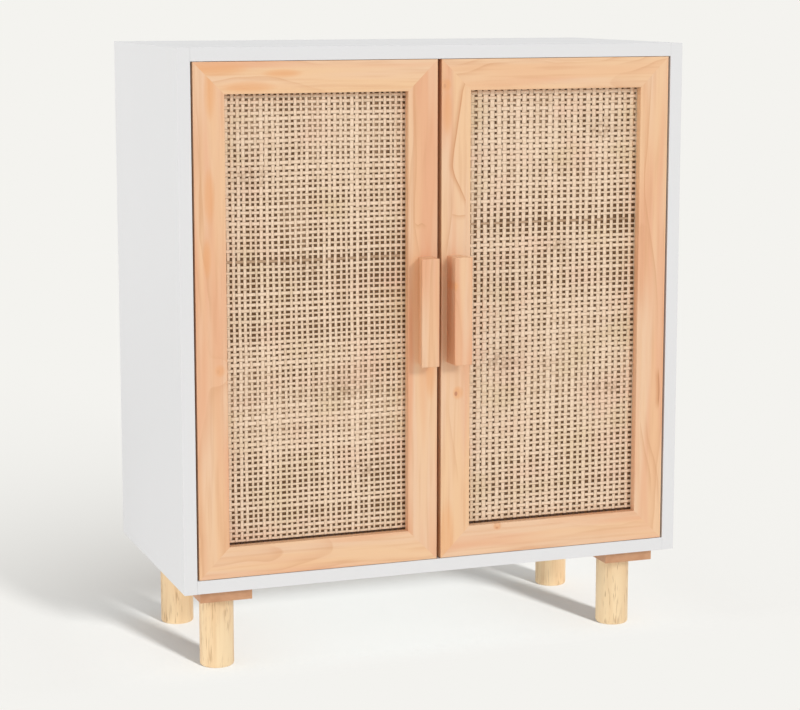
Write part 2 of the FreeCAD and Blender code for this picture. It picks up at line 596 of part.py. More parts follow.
def cross_panel(low_z, high_z, cuts):
    """The top or the bottom panel, between the two sides."""
    panel = box((INNER_X, FRONT_Y, low_z), (-INNER_X, REAR_Y, high_z))
    panel = rounded(panel, BOARD_ARRIS, lambda middle, way: near(abs(way.x), 1)
                    and (near(middle.y, FRONT_Y) or middle.z in (CARCASS_Z, TOP_Z)))
    return cut_all(panel, cuts)


def back_panel(nail_holes):
    reach = BACK_LAP - BACK_CLEARANCE
    panel = box((INNER_X - reach, BACK_PANEL_Y, FLOOR_Z - reach),
                (-INNER_X + reach, REAR_Y, CEILING_Z + reach))
    return cut_all(panel, nail_holes)


def back_rebate():
    return box((INNER_X - BACK_LAP, BACK_PANEL_Y, FLOOR_Z - BACK_LAP),
               (-INNER_X + BACK_LAP, REAR_Y, CEILING_Z + BACK_LAP))


def shelf():
    board = box((INNER_X + SHELF_GAP, SHELF_FRONT_Y, SHELF_Z),
                (-INNER_X - SHELF_GAP, SHELF_BACK_Y, SHELF_Z + SHELF_THICKNESS))
    return rounded(board, BOARD_ARRIS, lambda middle, way: near(abs(way.x), 1)
                   and near(middle.y, SHELF_FRONT_Y))


def leg_hardware():
    """Bolts, threaded inserts and their holes for the two left legs, in the order of LEG_YS."""
    bolts, inserts, bolt_holes, insert_holes = [], [], [], []
    for y in LEG_YS.values():
        seat = FreeCAD.Vector(RAIL_X, y, LEG_HEIGHT)
        length = LEG_BOLT_IN_LEG + LEG_INSERT_HEIGHT
        start = seat + DOWN * LEG_BOLT_IN_LEG
        bolts.append(rod(start, UP, LEG_BOLT_DIAMETER, length))
        bolt_hole = rod(start + DOWN * HOLE_SPARE_DEPTH, UP, LEG_BOLT_DIAMETER,
                        length + HOLE_SPARE_DEPTH, SEAT_CLEARANCE)
        bolt_holes.append(bolt_hole)
        inserts.append(rod(seat, UP, LEG_INSERT_DIAMETER, LEG_INSERT_HEIGHT).cut(bolt_hole))
        insert_holes.append(rod(seat, UP, LEG_INSERT_DIAMETER, LEG_INSERT_HEIGHT,
                                SEAT_CLEARANCE))
    return bolts, inserts, bolt_holes, insert_holes


def leg(y, bolt_hole):
    post = Part.makeCylinder(LEG_DIAMETER / 2, LEG_HEIGHT, FreeCAD.Vector(RAIL_X, y, 0), UP)
    for radius, z in ((LEG_FOOT_ROUND, 0), (LEG_HEAD_ROUND, LEG_HEIGHT)):
        rim = [edge for edge in post.Edges
               if near(edge.BoundBox.ZMin, z) and near(edge.BoundBox.ZMax, z)]
        post = post.makeFillet(radius, rim)
    return post.cut(bolt_hole)


def rail_screws():
    """Screws through the left leg rail into the bottom panel, and their holes."""
    screws, holes = [], []
    sizes = (RAIL_SCREW_DIAMETER, RAIL_SCREW_HEAD_DIAMETER, RAIL_SCREW_LENGTH)
    for y in (RAIL_FRONT_Y + RAIL_SCREW_END_INSET, MIDDLE_Y, RAIL_BACK_Y - RAIL_SCREW_END_INSET):
        point = FreeCAD.Vector(RAIL_X, y, LEG_HEIGHT)
        screws.append(countersunk_screw(point, UP, *sizes))
        holes.append(countersunk_hole(point, UP, *sizes))
    return screws, holes


def leg_rail(cuts):
    rail = box((RAIL_LEFT, RAIL_FRONT_Y, LEG_HEIGHT),
               (RAIL_LEFT + LEG_RAIL_WIDTH, RAIL_BACK_Y, CARCASS_Z))
    rail = rounded(rail, LEG_RAIL_ARRIS, lambda middle, way: near(middle.z, LEG_HEIGHT))
    return cut_all(rail, cuts)


# ---------------------------------------------------------------- the whole cabinet
def build():
    cam_bolts, cams, cam_side_holes, cam_board_holes = cam_joints()
    dowels, dowel_holes = carcass_dowels()
    nails, nail_holes = back_nails()
    pins, pin_holes = shelf_pins()
    (frame_leaves, door_leaves, pivot_pins, washers, frame_screws, door_screws, frame_cuts,
     door_cuts) = knife_hinges()
    (housing, magnet, poles, catch_screws, catch_holes, strike, strike_screws,
     strike_holes) = magnetic_catch()
    leg_bolts, inserts, bolt_holes, insert_holes = leg_hardware()
    screws_in_rail, rail_screw_holes = rail_screws()
    handle, handle_screws, handle_holes = handle_with_screws()
    corner_dowels, corner_holes = frame_dowels()
    rebate = back_rebate()

    board_cuts = both_sides(cam_board_holes + dowel_holes + frame_cuts + catch_holes
                            + rail_screw_holes) + nail_holes + [rebate]
    side_cuts = cam_side_holes + dowel_holes + pin_holes + nail_holes + [rebate]
    door_tools = door_cuts + corner_holes + handle_holes + strike_holes
    bottom_rail, meeting_stile, top_rail, hinge_stile = [
        cut_all(bar, door_tools) for bar in door_frame()]

    # pieces of the left half that the right half has as well
    halves = {
        "side_panel": side_panel(side_cuts),
        "leg_rail": leg_rail(insert_holes + rail_screw_holes),
        "door_hinge_stile": hinge_stile,
        "door_meeting_stile": meeting_stile,
        "door_top_rail": top_rail,
        "door_bottom_rail": bottom_rail,
        "door_corner_dowels": group(corner_dowels),
        "door_cane_beads": group(cane_beads()),
        "door_cane_panel": sheet_in_frame(CANE_Y, CANE_THICKNESS),
        "door_backing_board": sheet_in_frame(BACKING_Y, BACKING_THICKNESS),
        "door_handle": handle,
        "door_handle_screws": group(handle_screws),
        "door_hinge_leaves": group(door_leaves),
        "door_hinge_screws": group(door_screws),
        "door_strike_plate": strike,
        "door_strike_screws": group(strike_screws),
    }
    for (end, y), bolt_hole in zip(LEG_YS.items(), bolt_holes):
        halves[end + "_leg"] = leg(y, bolt_hole)

    nodes = {
        "top_panel": cross_panel(CEILING_Z, TOP_Z, board_cuts),
        "bottom_panel": cross_panel(CARCASS_Z, FLOOR_Z, board_cuts),
        "back_panel": back_panel(nail_holes),
        "back_nails": group(nails),
        "shelf": shelf(),
        "shelf_pins": group(both_sides(pins)),
        "carcass_dowels": group(both_sides(dowels)),
        "cam_bolts": group(both_sides(cam_bolts)),
        "cam_locks": group(both_sides(cams)),
        "leg_bolts": group(both_sides(leg_bolts)),
        "leg_inserts": group(both_sides(inserts)),
        "leg_rail_screws": group(both_sides(screws_in_rail)),
        "frame_hinge_leaves": group(both_sides(frame_leaves)),
        "frame_hinge_screws": group(both_sides(frame_screws)),
        "hinge_pins": group(both_sides(pivot_pins)),
        "hinge_washers": group(both_sides(washers)),
        "catch_housings": group(both_sides([housing])),
        "catch_magnets": group(both_sides([magnet])),
        "catch_pole_plates": group(both_sides(poles)),
        "catch_screws": group(both_sides(catch_screws)),
    }
    for name, shape in halves.items():
        nodes["left_" + name] = shape
        nodes["right_" + name] = mirrored(shape)
    return nodes


os.makedirs("parts", exist_ok=True)
for node_name, node_shape in build().items():
    node_shape.exportStep("parts/" + node_name + ".step")
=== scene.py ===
"""Record cabinet: finishes, woven cane and studio stage around the cabinet's own pieces.

The file is laid out as an add-on. Run as a script, it makes every piece from its default settings.
Lengths are in metres. The cabinet stands on Z 0, its doors face -Y and its left side is at -X.
"""

import math
from collections import namedtuple
from functools import partial, partialmethod

import bpy
from bpy.props import FloatProperty, FloatVectorProperty, IntProperty, PointerProperty
from bpy.types import Operator, Panel, PropertyGroup
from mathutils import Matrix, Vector


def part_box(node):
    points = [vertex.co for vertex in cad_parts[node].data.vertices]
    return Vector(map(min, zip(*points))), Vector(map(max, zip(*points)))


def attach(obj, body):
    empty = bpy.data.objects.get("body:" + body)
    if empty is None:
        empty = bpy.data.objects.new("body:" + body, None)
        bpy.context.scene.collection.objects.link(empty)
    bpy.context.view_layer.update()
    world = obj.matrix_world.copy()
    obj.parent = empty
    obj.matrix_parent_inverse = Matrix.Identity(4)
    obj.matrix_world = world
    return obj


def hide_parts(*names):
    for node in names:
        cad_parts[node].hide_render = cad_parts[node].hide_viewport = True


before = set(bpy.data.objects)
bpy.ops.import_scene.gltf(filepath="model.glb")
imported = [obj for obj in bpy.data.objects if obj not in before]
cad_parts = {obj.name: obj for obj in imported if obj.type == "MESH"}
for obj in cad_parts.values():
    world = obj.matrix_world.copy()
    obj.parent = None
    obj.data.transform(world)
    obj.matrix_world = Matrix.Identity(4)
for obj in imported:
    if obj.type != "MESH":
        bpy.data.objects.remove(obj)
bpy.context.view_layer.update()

bl_info = {
    "name": "Record Cabinet",
    "version": (1, 0, 0),
    "blender": (4, 5, 0),
    "location": "3D View > Sidebar > Cabinet",
    "description": "Finishes, woven cane and stage of a two-door record cabinet",
    "category": "Object",
}

SIDES = ("left", "right")


# ---- settings


def display_to_linear(channel):
    """A display value from 0 to 255 as linear light."""
    level = channel / 255
    return level / 12.92 if level <= 0.04045 else ((level + 0.055) / 1.055) ** 2.4


def colour(name, description, red, green, blue):
    """A colour setting, given as it looks on a display."""
    default = tuple(display_to_linear(channel) for channel in (red, green, blue))
    return FloatVectorProperty(
        name=name, description=description, subtype="COLOR", size=3, min=0, max=1, default=default
    )


def length(name, description, default):
    """A length setting, in metres."""
    return FloatProperty(
        name=name, description=description, subtype="DISTANCE", unit="LENGTH", precision=5, default=default
    )


def angle(name, description, degrees):
    """An angle setting, given in degrees and kept in radians."""
    return FloatProperty(
        name=name, description=description, subtype="ANGLE", unit="ROTATION", default=math.radians(degrees)
    )


def share(name, description, default):
    """A setting from 0 to 1."""
    return FloatProperty(
        name=name, description=description, subtype="FACTOR", min=0, max=1, default=default
    )


def strength(name, description, default):
    """A plain number that is never negative."""
    return FloatProperty(name=name, description=description, min=0, default=default)


def count(name, description, default):
    """A whole number of things."""
    return IntProperty(name=name, description=description, min=1, default=default)


class BoardSettings(PropertyGroup):
    """Foil-covered boards and the hardboard back"""

    white: colour("White foil", "Colour of the foil on the boards", 224, 224, 225)
    foil_roughness: share("Foil roughness", "Roughness of the satin foil", 0.42)
    foil_texture: length("Foil texture", "Size of the faint orange-peel texture", 0.0012)
    hardboard: colour("Hardboard", "Colour of the back panel", 184, 138, 96)
    hardboard_fibre: colour("Hardboard fibre", "Colour of the pale fibres in the back panel", 208, 168, 124)
    hardboard_chip: colour("Hardboard chip", "Colour of the dark chips in the back panel", 128, 90, 60)


class PineSettings(PropertyGroup):
    """Lacquered pine of the door frames, handles, legs and leg rails"""

    frame_pale: colour("Frame pale wood", "Early wood of the door frames and handles", 231, 192, 157)
    frame_late: colour("Frame late wood", "Late wood of the door frames and handles", 208, 150, 106)
    frame_rose: colour("Frame rose wood", "Pinkish wood in the door frames", 226, 169, 130)
    frame_gold: colour("Frame gold wood", "Yellow wood in the door frames", 234, 192, 147)
    knot: colour("Knot", "Colour of the wood round a knot", 226, 160, 104)
    knot_eye: colour("Knot eye", "Colour of the small dark eye in a knot", 168, 96, 70)
    leg_pale: colour("Leg pale wood", "Early wood of the legs", 240, 213, 171)
    leg_late: colour("Leg late wood", "Late wood of the legs", 216, 173, 124)
    leg_fleck: colour("Leg fleck", "Short dark streaks in the legs", 160, 118, 76)
    rail_pale: colour("Leg rail pale wood", "Early wood of the leg rails", 204, 154, 116)
    rail_late: colour("Leg rail late wood", "Late wood of the leg rails", 190, 138, 100)
    ring_contrast: share("Ring contrast", "How strongly the late wood shows", 0.4)
    lacquer_roughness: share("Lacquer roughness", "Roughness of the satin lacquer", 0.45)


class CaneSettings(PropertyGroup):
    """Woven cane of the door panels"""

    left_columns: count("Left columns", "Upright strands in the left panel", 34)
    left_rows: count("Left rows", "Level strands in the left panel", 85)
    right_columns: count("Right columns", "Upright strands in the right panel", 28)
    right_rows: count("Right rows", "Level strands in the right panel", 83)
    gap_wide: length("Hole width", "Mean width of a hole between two upright strands", 0.0030)
    gap_tall: length("Hole height", "Mean height of a hole between two level strands", 0.0026)
    thickness: length("Strand thickness", "Thickness of one flat strand", 0.0003)
    lift: length("Strand lift", "How far a strand rises and dips at each crossing", 0.00015)
    wander: length("Wander", "How unevenly the strands are spaced", 0.0034)
    uneven: share("Uneven strands", "How much one strand is wider than another", 0.5)
    patchiness: share("Patchiness", "How much the strands widen and narrow from place to place", 0.32)
    swell: share("Swell", "How much the strands widen and narrow up the panel", 0.1)
    swell_period: length("Swell period", "Height over which the strands widen and narrow once", 0.29)
    pale: colour("Pale cane", "Colour of most strands", 240, 214, 187)
    shade: colour("Shaded cane", "Colour of the duller strands", 218, 190, 160)
    rose: colour("Rose cane", "Pinkish patches", 232, 196, 170)
    olive: colour("Olive cane", "Greenish yellow patches", 216, 192, 152)
    dark: colour("Dark cane", "Colour of the one dark strand and of the stains", 160, 124, 90)
    # Where a strand dips under a crossing one this colour is painted shade; on a strand's rough edges it is
    # partly the cane's own darker colour and partly painted contact shade.
    edge: colour("Strand edge", "Colour of the rough edges of a strand and of where it dips", 178, 142, 108)
    # Painted shade: a dark band painted on the cane just over the bottom bead, standing in for the shade
    # where the cane meets the bead.
    painted_bead_shade: colour("Tucked cane", "Colour of the cane where it runs down into its groove", 70, 42, 26)
    painted_bead_shade_height: length("Tuck height", "Height of the dark line over the bottom bead", 0.0024)
    # The backing's brown is partly its stain and partly painted shade for holes in deep shade; its pale
    # colour is painted light for holes that are lit.
    backing: colour("Backing", "Colour of the board behind the dark holes", 112, 82, 56)
    backing_painted_light: colour("Pale backing", "Colour of the board behind the pale holes", 186, 152, 120)
    veneer: colour("Veneer", "Bare wood of the board, inside the door", 226, 196, 158)
    veneer_late: colour("Veneer late wood", "Figure of the bare wood, inside the door", 198, 158, 116)


class FittingSettings(PropertyGroup):
    """Metal, plastic and dowel parts"""

    zinc: colour("Zinc plate", "Colour of screws, leaves, cams and plates", 206, 207, 208)
    brass: colour("Brass", "Colour of the brass parts", 214, 184, 118)
    nylon: colour("Nylon", "Colour of the washers and catch housings", 226, 226, 222)
    magnet: colour("Magnet", "Colour of the ferrite magnets", 62, 60, 60)
    beech: colour("Beech", "Colour of the dowels", 222, 188, 146)


class StageSettings(PropertyGroup):
    """Floor, sky and camera"""

    floor: colour("Floor", "Colour of the floor and of the background", 244, 243, 239)
    floor_size: length("Floor size", "Half the width of the floor", 30.0)
    shadow_front: length("Shadow front", "Place along Y before which the floor shows no shadow", -0.16)
    shadow_full: length("Shadow full", "Place along Y from which the floor's shadow shows in full", -0.08)
    fade_start: length("Fade start", "Distance from the middle at which the shadow starts to fade", 0.25)
    fade_length: length("Fade length", "Distance over which the shadow fades to a third", 0.33)
    floor_paint: colour("Floor paint", "What the floor gives back of its own lamp and the sky", 199, 198, 195)
    near_paint: colour(
        "Near floor paint", "The same close to the cabinet, where less of the sky reaches", 207, 208, 206
    )
    near_width: length("Near width", "Half the width of the floor with the near paint", 0.28)
    near_depth: length("Near depth", "Half the depth of the floor with the near paint", 0.15)
    near_reach: length("Near reach", "Distance over which the near paint ends", 0.15)
    floor_glow: share("Floor glow", "How much of the background shows through the darkest shadow", 0.14)
    sky_strength: strength("Sky strength", "Even light from all round", 0.7)
    camera_place: FloatVectorProperty(
        name="Camera place", description="Where the camera stands", subtype="XYZ", unit="LENGTH", size=3,
        precision=4, default=(-0.8688, -2.3907, 0.7606),
    )
    camera_turn: angle("Camera turn", "How far the camera is turned to the right", 20.031)
    camera_tilt: angle("Camera tilt", "How far the camera looks down", 8.547)
    camera_lens: strength("Lens", "Focal length in millimetres on a 36 mm sensor", 97.39)
    camera_shift: FloatProperty(name="Shift", description="Upward shift of the lens", default=-0.05)


# For each lamp: what it is, its strength, and its three angles in degrees.
LAMPS = {
    "floor_lamp": ("low, on the floor alone", 9.48, 15, 16.5, 7),
    "leg": ("low, on the back legs alone", 0.95, 15, 5, 12),
    "key": ("soft, from the front right", 0.85, 16, 25, 12),
    "fill": ("wide, from the left", 1.2, -82, 9, 50),
    "back": ("wide, from behind and above", 0.4, 165, 32, 40),
}
LAMP_ANGLES = {
    "turn": "how far right of the front it stands",
    "height": "how high it stands",
    "softness": "how wide it looks",
}


def lamp_settings():
    """The settings of every lamp: its strength and its three angles."""
    made = {}
    for lamp, (character, power, *degrees) in LAMPS.items():
        title = lamp.split("_")[0].capitalize() + " lamp"
        described = f"{title}, {character}"
        made[f"{lamp}_strength"] = strength(f"{title} strength", f"{described}: how bright it is", power)
        for (part, meaning), default in zip(LAMP_ANGLES.items(), degrees):
            made[f"{lamp}_{part}"] = angle(f"{title} {part}", f"{described}: {meaning}", default)
    return made


class LampSettings(PropertyGroup):
    """Strength, place and softness of each lamp"""

    __annotations__ = lamp_settings()


SETTINGS = {
    "boards": BoardSettings,
    "pine": PineSettings,
    "cane": CaneSettings,
    "fittings": FittingSettings,
    "stage": StageSettings,
    "lamps": LampSettings,
}


class CabinetSettings(PropertyGroup):
    """Every setting of the cabinet"""

    __annotations__ = {name: PointerProperty(type=kind) for name, kind in SETTINGS.items()}


# ---- nodes, materials and objects


class Value:
    """One output of a node. Arithmetic on it adds Math nodes, and [name] gives another output."""

    def __init__(self, graph, socket):
        self.graph = graph
        self.socket = socket

    def __getitem__(self, name):
        return Value(self.graph, self.graph.find(self.socket.node.outputs, name))

    def math(self, operation, *others):
        return self.graph.math(operation, self, *others)

    def math_after(self, operation, first):
        return self.graph.math(operation, first, self)

    __add__ = __radd__ = partialmethod(math, "ADD")
    __sub__ = partialmethod(math, "SUBTRACT")
    __rsub__ = partialmethod(math_after, "SUBTRACT")
    __mul__ = __rmul__ = partialmethod(math, "MULTIPLY")
    __truediv__ = partialmethod(math, "DIVIDE")
    __rtruediv__ = partialmethod(math_after, "DIVIDE")
    __pow__ = partialmethod(math, "POWER")
    __gt__ = partialmethod(math, "GREATER_THAN")
    __abs__ = partialmethod(math, "ABSOLUTE")


class Graph:
    """Adds nodes to one tree, for a material, the world or Geometry Nodes."""

    def __init__(self, tree, material=None):
        self.tree = tree
        self.material = material
        tree.nodes.clear()

    @staticmethod
    def find(sockets, key):
        """The socket in use that has this name or, for a number, this place."""
        used = [socket for socket in sockets if socket.enabled]
        if isinstance(key, int):
            return used[key]
        return next(socket for socket in used if socket.name == key)

    def node(self, kind, settings=None, inputs=None, output=0):
        """Adds a node: its settings first, then the values or links of its sockets."""
        made = self.tree.nodes.new(kind)
        for name, setting in (settings or {}).items():
            setattr(made, name, setting)
        for key, given in (inputs or {}).items():
            socket = self.find(made.inputs, key)
            if isinstance(given, Value):
                self.tree.links.new(given.socket, socket)
            elif socket.type == "RGBA":
                socket.default_value = (*given[:3], 1)
            else:
                socket.default_value = given
        return Value(self, self.find(made.outputs, output)) if made.outputs else None

    def math(self, operation, *operands):
        return self.node("ShaderNodeMath", {"operation": operation}, dict(enumerate(operands)))

    def vector(self, x, y, z):
        return self.node("ShaderNodeCombineXYZ", None, {"X": x, "Y": y, "Z": z})

    def split(self, vector):
        parts = self.node("ShaderNodeSeparateXYZ", None, {"Vector": vector})
        return parts, parts["Y"], parts["Z"]

    def mix(self, first, second, factor):
        """The first colour turning into the second as the factor goes from 0 to 1."""
        return self.node(
            "ShaderNodeMix", {"data_type": "RGBA"}, {"Factor": factor, "A": first, "B": second}
        )

    def noise(self, x, y, z, detail=1.0):
        """Soft noise from 0 to 1, with one feature for each unit of its coordinates. A plain number
        as a coordinate only picks a figure of its own."""
        return self.node(
            "ShaderNodeTexNoise", None, {"Vector": self.vector(x, y, z), "Scale": 1.0, "Detail": detail}
        )

    def even_noise(self, place, fineness, detail=1.0):
        """Soft noise with this many features in a metre, the same each way."""
        return self.noise(*[axis * fineness for axis in place], detail)

    def smooth(self, value, low, high):
        """0 below the low value, 1 above the high one, and a soft step between them."""
        return self.node(
            "ShaderNodeMapRange",
            {"interpolation_type": "SMOOTHSTEP"},
            {"Value": value, "From Min": low, "From Max": high},
        )

    def attribute(self, name):
        """A number that Geometry Nodes stored on the mesh."""
        return self.node("ShaderNodeAttribute", {"attribute_name": name}, None, "Fac")


def material_graph(name):
    """The graph of a new material's empty tree."""
    material = bpy.data.materials.new(name)
    material.use_nodes = True
    return Graph(material.node_tree, material)


def add_object(name, data):
    """A new object in the scene, at its origin."""
    made = bpy.data.objects.new(name, data)
    bpy.context.scene.collection.objects.link(made)
    return made


def object_place(graph, centre=(0, 0, 0)):
    """X, Y and Z of the shaded point, measured from a centre."""
    place = graph.node("ShaderNodeTexCoord", None, None, "Object")
    return graph.split(
        graph.node("ShaderNodeVectorMath", {"operation": "SUBTRACT"}, {0: place, 1: centre})
    )


def surface(graph, inputs, height, depth):
    """Ends a material with a Principled shader and a bump of this depth, and gives the material."""
    bump = graph.node("ShaderNodeBump", None, {"Strength": 1.0, "Distance": depth, "Height": height})
    shader = graph.node("ShaderNodeBsdfPrincipled", None, {**inputs, "Normal": bump})
    graph.node("ShaderNodeOutputMaterial", None, {"Surface": shader})
    return graph.material


def dimmed(tint, part):
    """A colour with this part of its light."""
    return tuple(channel * part for channel in tint)


# ---- board finishes

FOIL_SPECULAR = 0.1

# Each finish's DEPTH is how deep its texture is, in metres.
FOIL_DEPTH = 0.00001
HARDBOARD_DEPTH = 0.00004


def foil_material(name, look):
    """White satin foil with a faint orange-peel texture."""
    graph = material_graph(name)
    place = object_place(graph)
    peel = graph.noise(*[axis / look.foil_texture for axis in place])
    cloud = graph.even_noise(place, 6, 2)
    inputs = {
        "Base Color": graph.mix(look.white, dimmed(look.white, 0.97), cloud),
        "Roughness": look.foil_roughness + 0.06 * (peel - 0.5),
        "Specular IOR Level": FOIL_SPECULAR,
    }
    return surface(graph, inputs, peel, FOIL_DEPTH)


def hardboard_material(name, look):
    """Brown hardboard: matted fibres lying every way in the sheet, with pale and dark chips."""
    graph = material_graph(name)
    place = object_place(graph)
    x, y, z = place
    fibres = graph.noise(x * 300, y * 900, z * 1100, 3)
    crossing = graph.noise(x * 1100, y * 900, z * 300, 3)
    cloud = graph.even_noise(place, 14, 2)
    mottle = graph.even_noise(place, 170, 3)
    chip = graph.even_noise(place, 240)
    pale = graph.smooth(fibres.math("MAXIMUM", crossing), 0.5, 0.72)
    paleness = 0.7 * pale + 0.3 * cloud + 0.9 * (mottle - 0.5)
    board = graph.mix(look.hardboard, look.hardboard_fibre, paleness)
    inputs = {
        "Base Color": graph.mix(board, look.hardboard_chip, 0.6 * graph.smooth(chip, 0.68, 0.76)),
        "Roughness": 0.62 - 0.1 * pale,
    }
    return surface(graph, inputs, fibres + crossing, HARDBOARD_DEPTH)


# ---- pine

# A board's grain axis, a number that makes its figure its own, where the pith lies across and
# behind its middle, how far the pith leans from the grain axis, the width of one ring, how pink it
# is at its low and at its high end and how golden it is (1 is all over, 0 in a few zones, and less
# in fewer still), and its knots as (place along, place across, radius, how much of a dark eye each has).
Board = namedtuple("Board", "grain seed pith lean ring rose gold knots", defaults=((),))

# A pine's colours: its early and late wood, its pink and golden zones, and its flecks if it has any.
Look = namedtuple("Look", "pale late rose gold fleck", defaults=(None,))

FRAME_BOARDS = {
    "left_door_hinge_stile": Board(
        "Z", 1, (0.012, 0.030), (0.03, -0.02), 0.007, (0.35, 0.4), 0.15,
        (
            (-0.051, 0.009, 0.0055, 0.15), (0.252, 0.001, 0.004, 0), (0.140, -0.001, 0.004, 0),
            (0.072, -0.004, 0.003, 0),
        ),
    ),
    "left_door_top_rail": Board(
        "X", 2, (-0.030, 0.030), (0.02, 0.03), 0.0055, (0.5, 0.0), 0.5,
        ((-0.115, 0.010, 0.005, 0), (-0.078, -0.010, 0.004, 0), (-0.040, 0.004, 0.003, 0)),
    ),
    "left_door_bottom_rail": Board("X", 3, (0.006, 0.026), (-0.03, 0.03), 0.0050, (0.35, 0.15), 0.2),
    "left_door_meeting_stile": Board(
        "Z", 4, (0.050, 0.030), (0.01, 0.0), 0.014, (0.35, 1.0), 0.0, ((-0.069, 0.009, 0.004, 0),)
    ),
    "right_door_meeting_stile": Board(
        "Z", 5, (0.034, 0.030), (-0.03, 0.02), 0.010, (-0.2, 0.4), 0.3,
        (
            (-0.093, 0.003, 0.0062, 0.9), (0.256, -0.012, 0.0055, 0.35), (0.226, -0.011, 0.0035, 0),
            (-0.262, -0.010, 0.006, 0),
        ),
    ),
    "right_door_top_rail": Board("X", 6, (-0.012, 0.024), (0.03, -0.04), 0.0050, (0.2, 0.4), 0.15),
    "right_door_bottom_rail": Board(
        "X", 7, (-0.008, 0.026), (0.03, 0.02), 0.0050, (0.25, 0.5), 0.15, ((-0.070, 0.014, 0.004, 0.5),)
    ),
    "right_door_hinge_stile": Board("Z", 8, (-0.020, 0.028), (0.04, 0.02), 0.009, (0.3, 0.4), 0.15),
}
HANDLE_BOARDS = {
    "left_door_handle": Board("Z", 11, (0.040, 0.012), (0.02, 0.02), 0.006, (0.6, 0.75), 0.0),
    "right_door_handle": Board(
        "Z", 12, (-0.030, 0.020), (-0.06, 0.02), 0.007, (0.6, 0.75), 0.0, ((0.029, -0.0105, 0.004, 0.8),)
    ),
}
LEG_BOARDS = {
    "left_front_leg": Board("Z", 31, (0.014, 0.030), (0.08, 0.05), 0.009, (0.2, 0.5), 0.3),
    "right_front_leg": Board("Z", 32, (-0.018, 0.028), (-0.06, 0.06), 0.009, (-0.6, -0.3), 0.5),
    "left_back_leg": Board("Z", 33, (0.022, 0.026), (0.05, -0.08), 0.009, (0.3, 0.3), 0.2),
    "right_back_leg": Board("Z", 34, (-0.010, 0.034), (0.07, 0.04), 0.009, (-0.7, -0.5), 0.4),
}
RAIL_BOARDS = {
    "left_leg_rail": Board("Y", 41, (0.030, 0.050), (0.02, 0.02), 0.006, (0.4, 0.4), 0.2),
    "right_leg_rail": Board("Y", 42, (-0.024, 0.046), (-0.02, 0.02), 0.006, (0.4, 0.4), 0.2),
}


# Single growth lines that a board is known by: how dark each is, where 1 is late wood and more is
# resin, its points as (how far on its way, how far to the side), and whether its way is across the
# board.
Line = namedtuple("Line", "depth points across", defaults=(False,))
GROWTH_LINES = {
    "right_door_meeting_stile": (
        Line(
            1.1,
            (
                (0.120, 0.0150), (0.127, 0.0119), (0.147, 0.0009), (0.163, -0.0053), (0.195, -0.0018),
                (0.250, 0.0083), (0.262, 0.0120),
            ),
        ),
        Line(0.6, ((-0.005, 0.1116), (0.002, 0.1091), (0.012, 0.1099)), across=True),
        Line(0.55, ((0.066, -0.0121), (0.088, -0.0086), (0.112, -0.0050), (0.139, -0.0051))),
        Line(0.3, ((-0.190, 0.0040), (-0.150, -0.0030), (-0.110, -0.0090))),
    ),
    "left_door_meeting_stile": (
        Line(0.5, ((0.067, -0.0038), (0.095, -0.0098), (0.123, -0.0108), (0.167, -0.0075), (0.251, -0.0102))),
        Line(0.6, ((-0.0110, 0.1044), (-0.0065, 0.0997), (-0.0017, 0.1029), (0.0031, 0.0993)), across=True),
    ),
    "right_door_hinge_stile": (
        Line(0.6, ((-0.005, 0.0091), (0.055, 0.0028), (0.131, -0.0129), (0.177, -0.0086), (0.264, -0.0038))),
        Line(
            0.5,
            ((-0.227, 0.0135), (-0.205, 0.0117), (-0.184, 0.0061), (-0.165, -0.0008), (-0.141, -0.0039)),
        ),
        Line(0.5, ((-0.226, 0.0043), (-0.204, 0.0025), (-0.183, -0.0031), (-0.146, -0.0117))),
        Line(1.5, ((-0.124, 0.0120), (-0.106, 0.0129), (-0.084, 0.0114))),
    ),
    "left_door_hinge_stile": (
        Line(0.4, ((0.115, -0.0080), (0.137, -0.0088), (0.180, -0.0115), (0.212, -0.0133))),
    ),
}

# The figures of the wood, each a noise: how fine it is along and across the grain, in features per
# metre, which way the board's own number moves it on each axis, and its detail.
Figure = namedtuple("Figure", "along across ways detail", defaults=(1.0,))
FIGURES = {
    "wander": Figure(5, 9, (1, 0, 1)),
    "ripple": Figure(24, 30, (1, 0, -1)),
    "fade": Figure(9, 40, (-1, 0, 1)),
    "rosy": Figure(5, 60, (1, 1, 0)),
    "golden": Figure(4, 70, (-1, 0, -1)),
    "streak": Figure(11, 230, (1, 0, -1)),
    "fibre": Figure(45, 1100, (0, 1, 0), 2),
    "fleck": Figure(60, 650, (1, -1, 0)),
    "patchy": Figure(18, 90, (-1, 0, 1), 0),
}
PINE_DEPTH = 0.00006

# How far apart the figures of two boards are, how far from its middle a board's pink changes, and
# how far its rings wander and ripple, in metres.
SEED_STEP = 7.3
ROSE_REACH = 0.15
RING_WANDER = 0.030
RING_RIPPLE = 0.004

# Half the length and half the width of a knot, of its eye and of a stain without an eye, and how far
# a knot pushes the rings aside, all in radii of the knot.
KNOT_SHAPE = (1.2, 1)
EYE_SHAPE = (0.5, 0.35)
STAIN_SHAPE = (6, 1.3)
KNOT_PUSH = 2.4

# How far before a growth line the wood starts to darken faintly and has done so in full, how far
# before it the strong part starts, and how far past it all ends, in metres. Then which part of each
# stretch eases into the next, and which part of the line fades at each of its ends.
LINE_FAINT = (0.0065, 0.0005)
LINE_STRONG = 0.0016
LINE_FAR_SIDE = 0.0009
LINE_EASE = 0.35
LINE_FADE = 0.2


def board_centre(node):
    """The middle of a node's box."""
    low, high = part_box(node)
    return (low + high) / 2


def grain_coordinates(graph, grain, centre):
    """Along the grain, across the face and into the depth of a straight board."""
    x, y, z = object_place(graph, centre)
    return {"X": (x, z, y), "Y": (y, x, z), "Z": (z, x, y)}[grain]


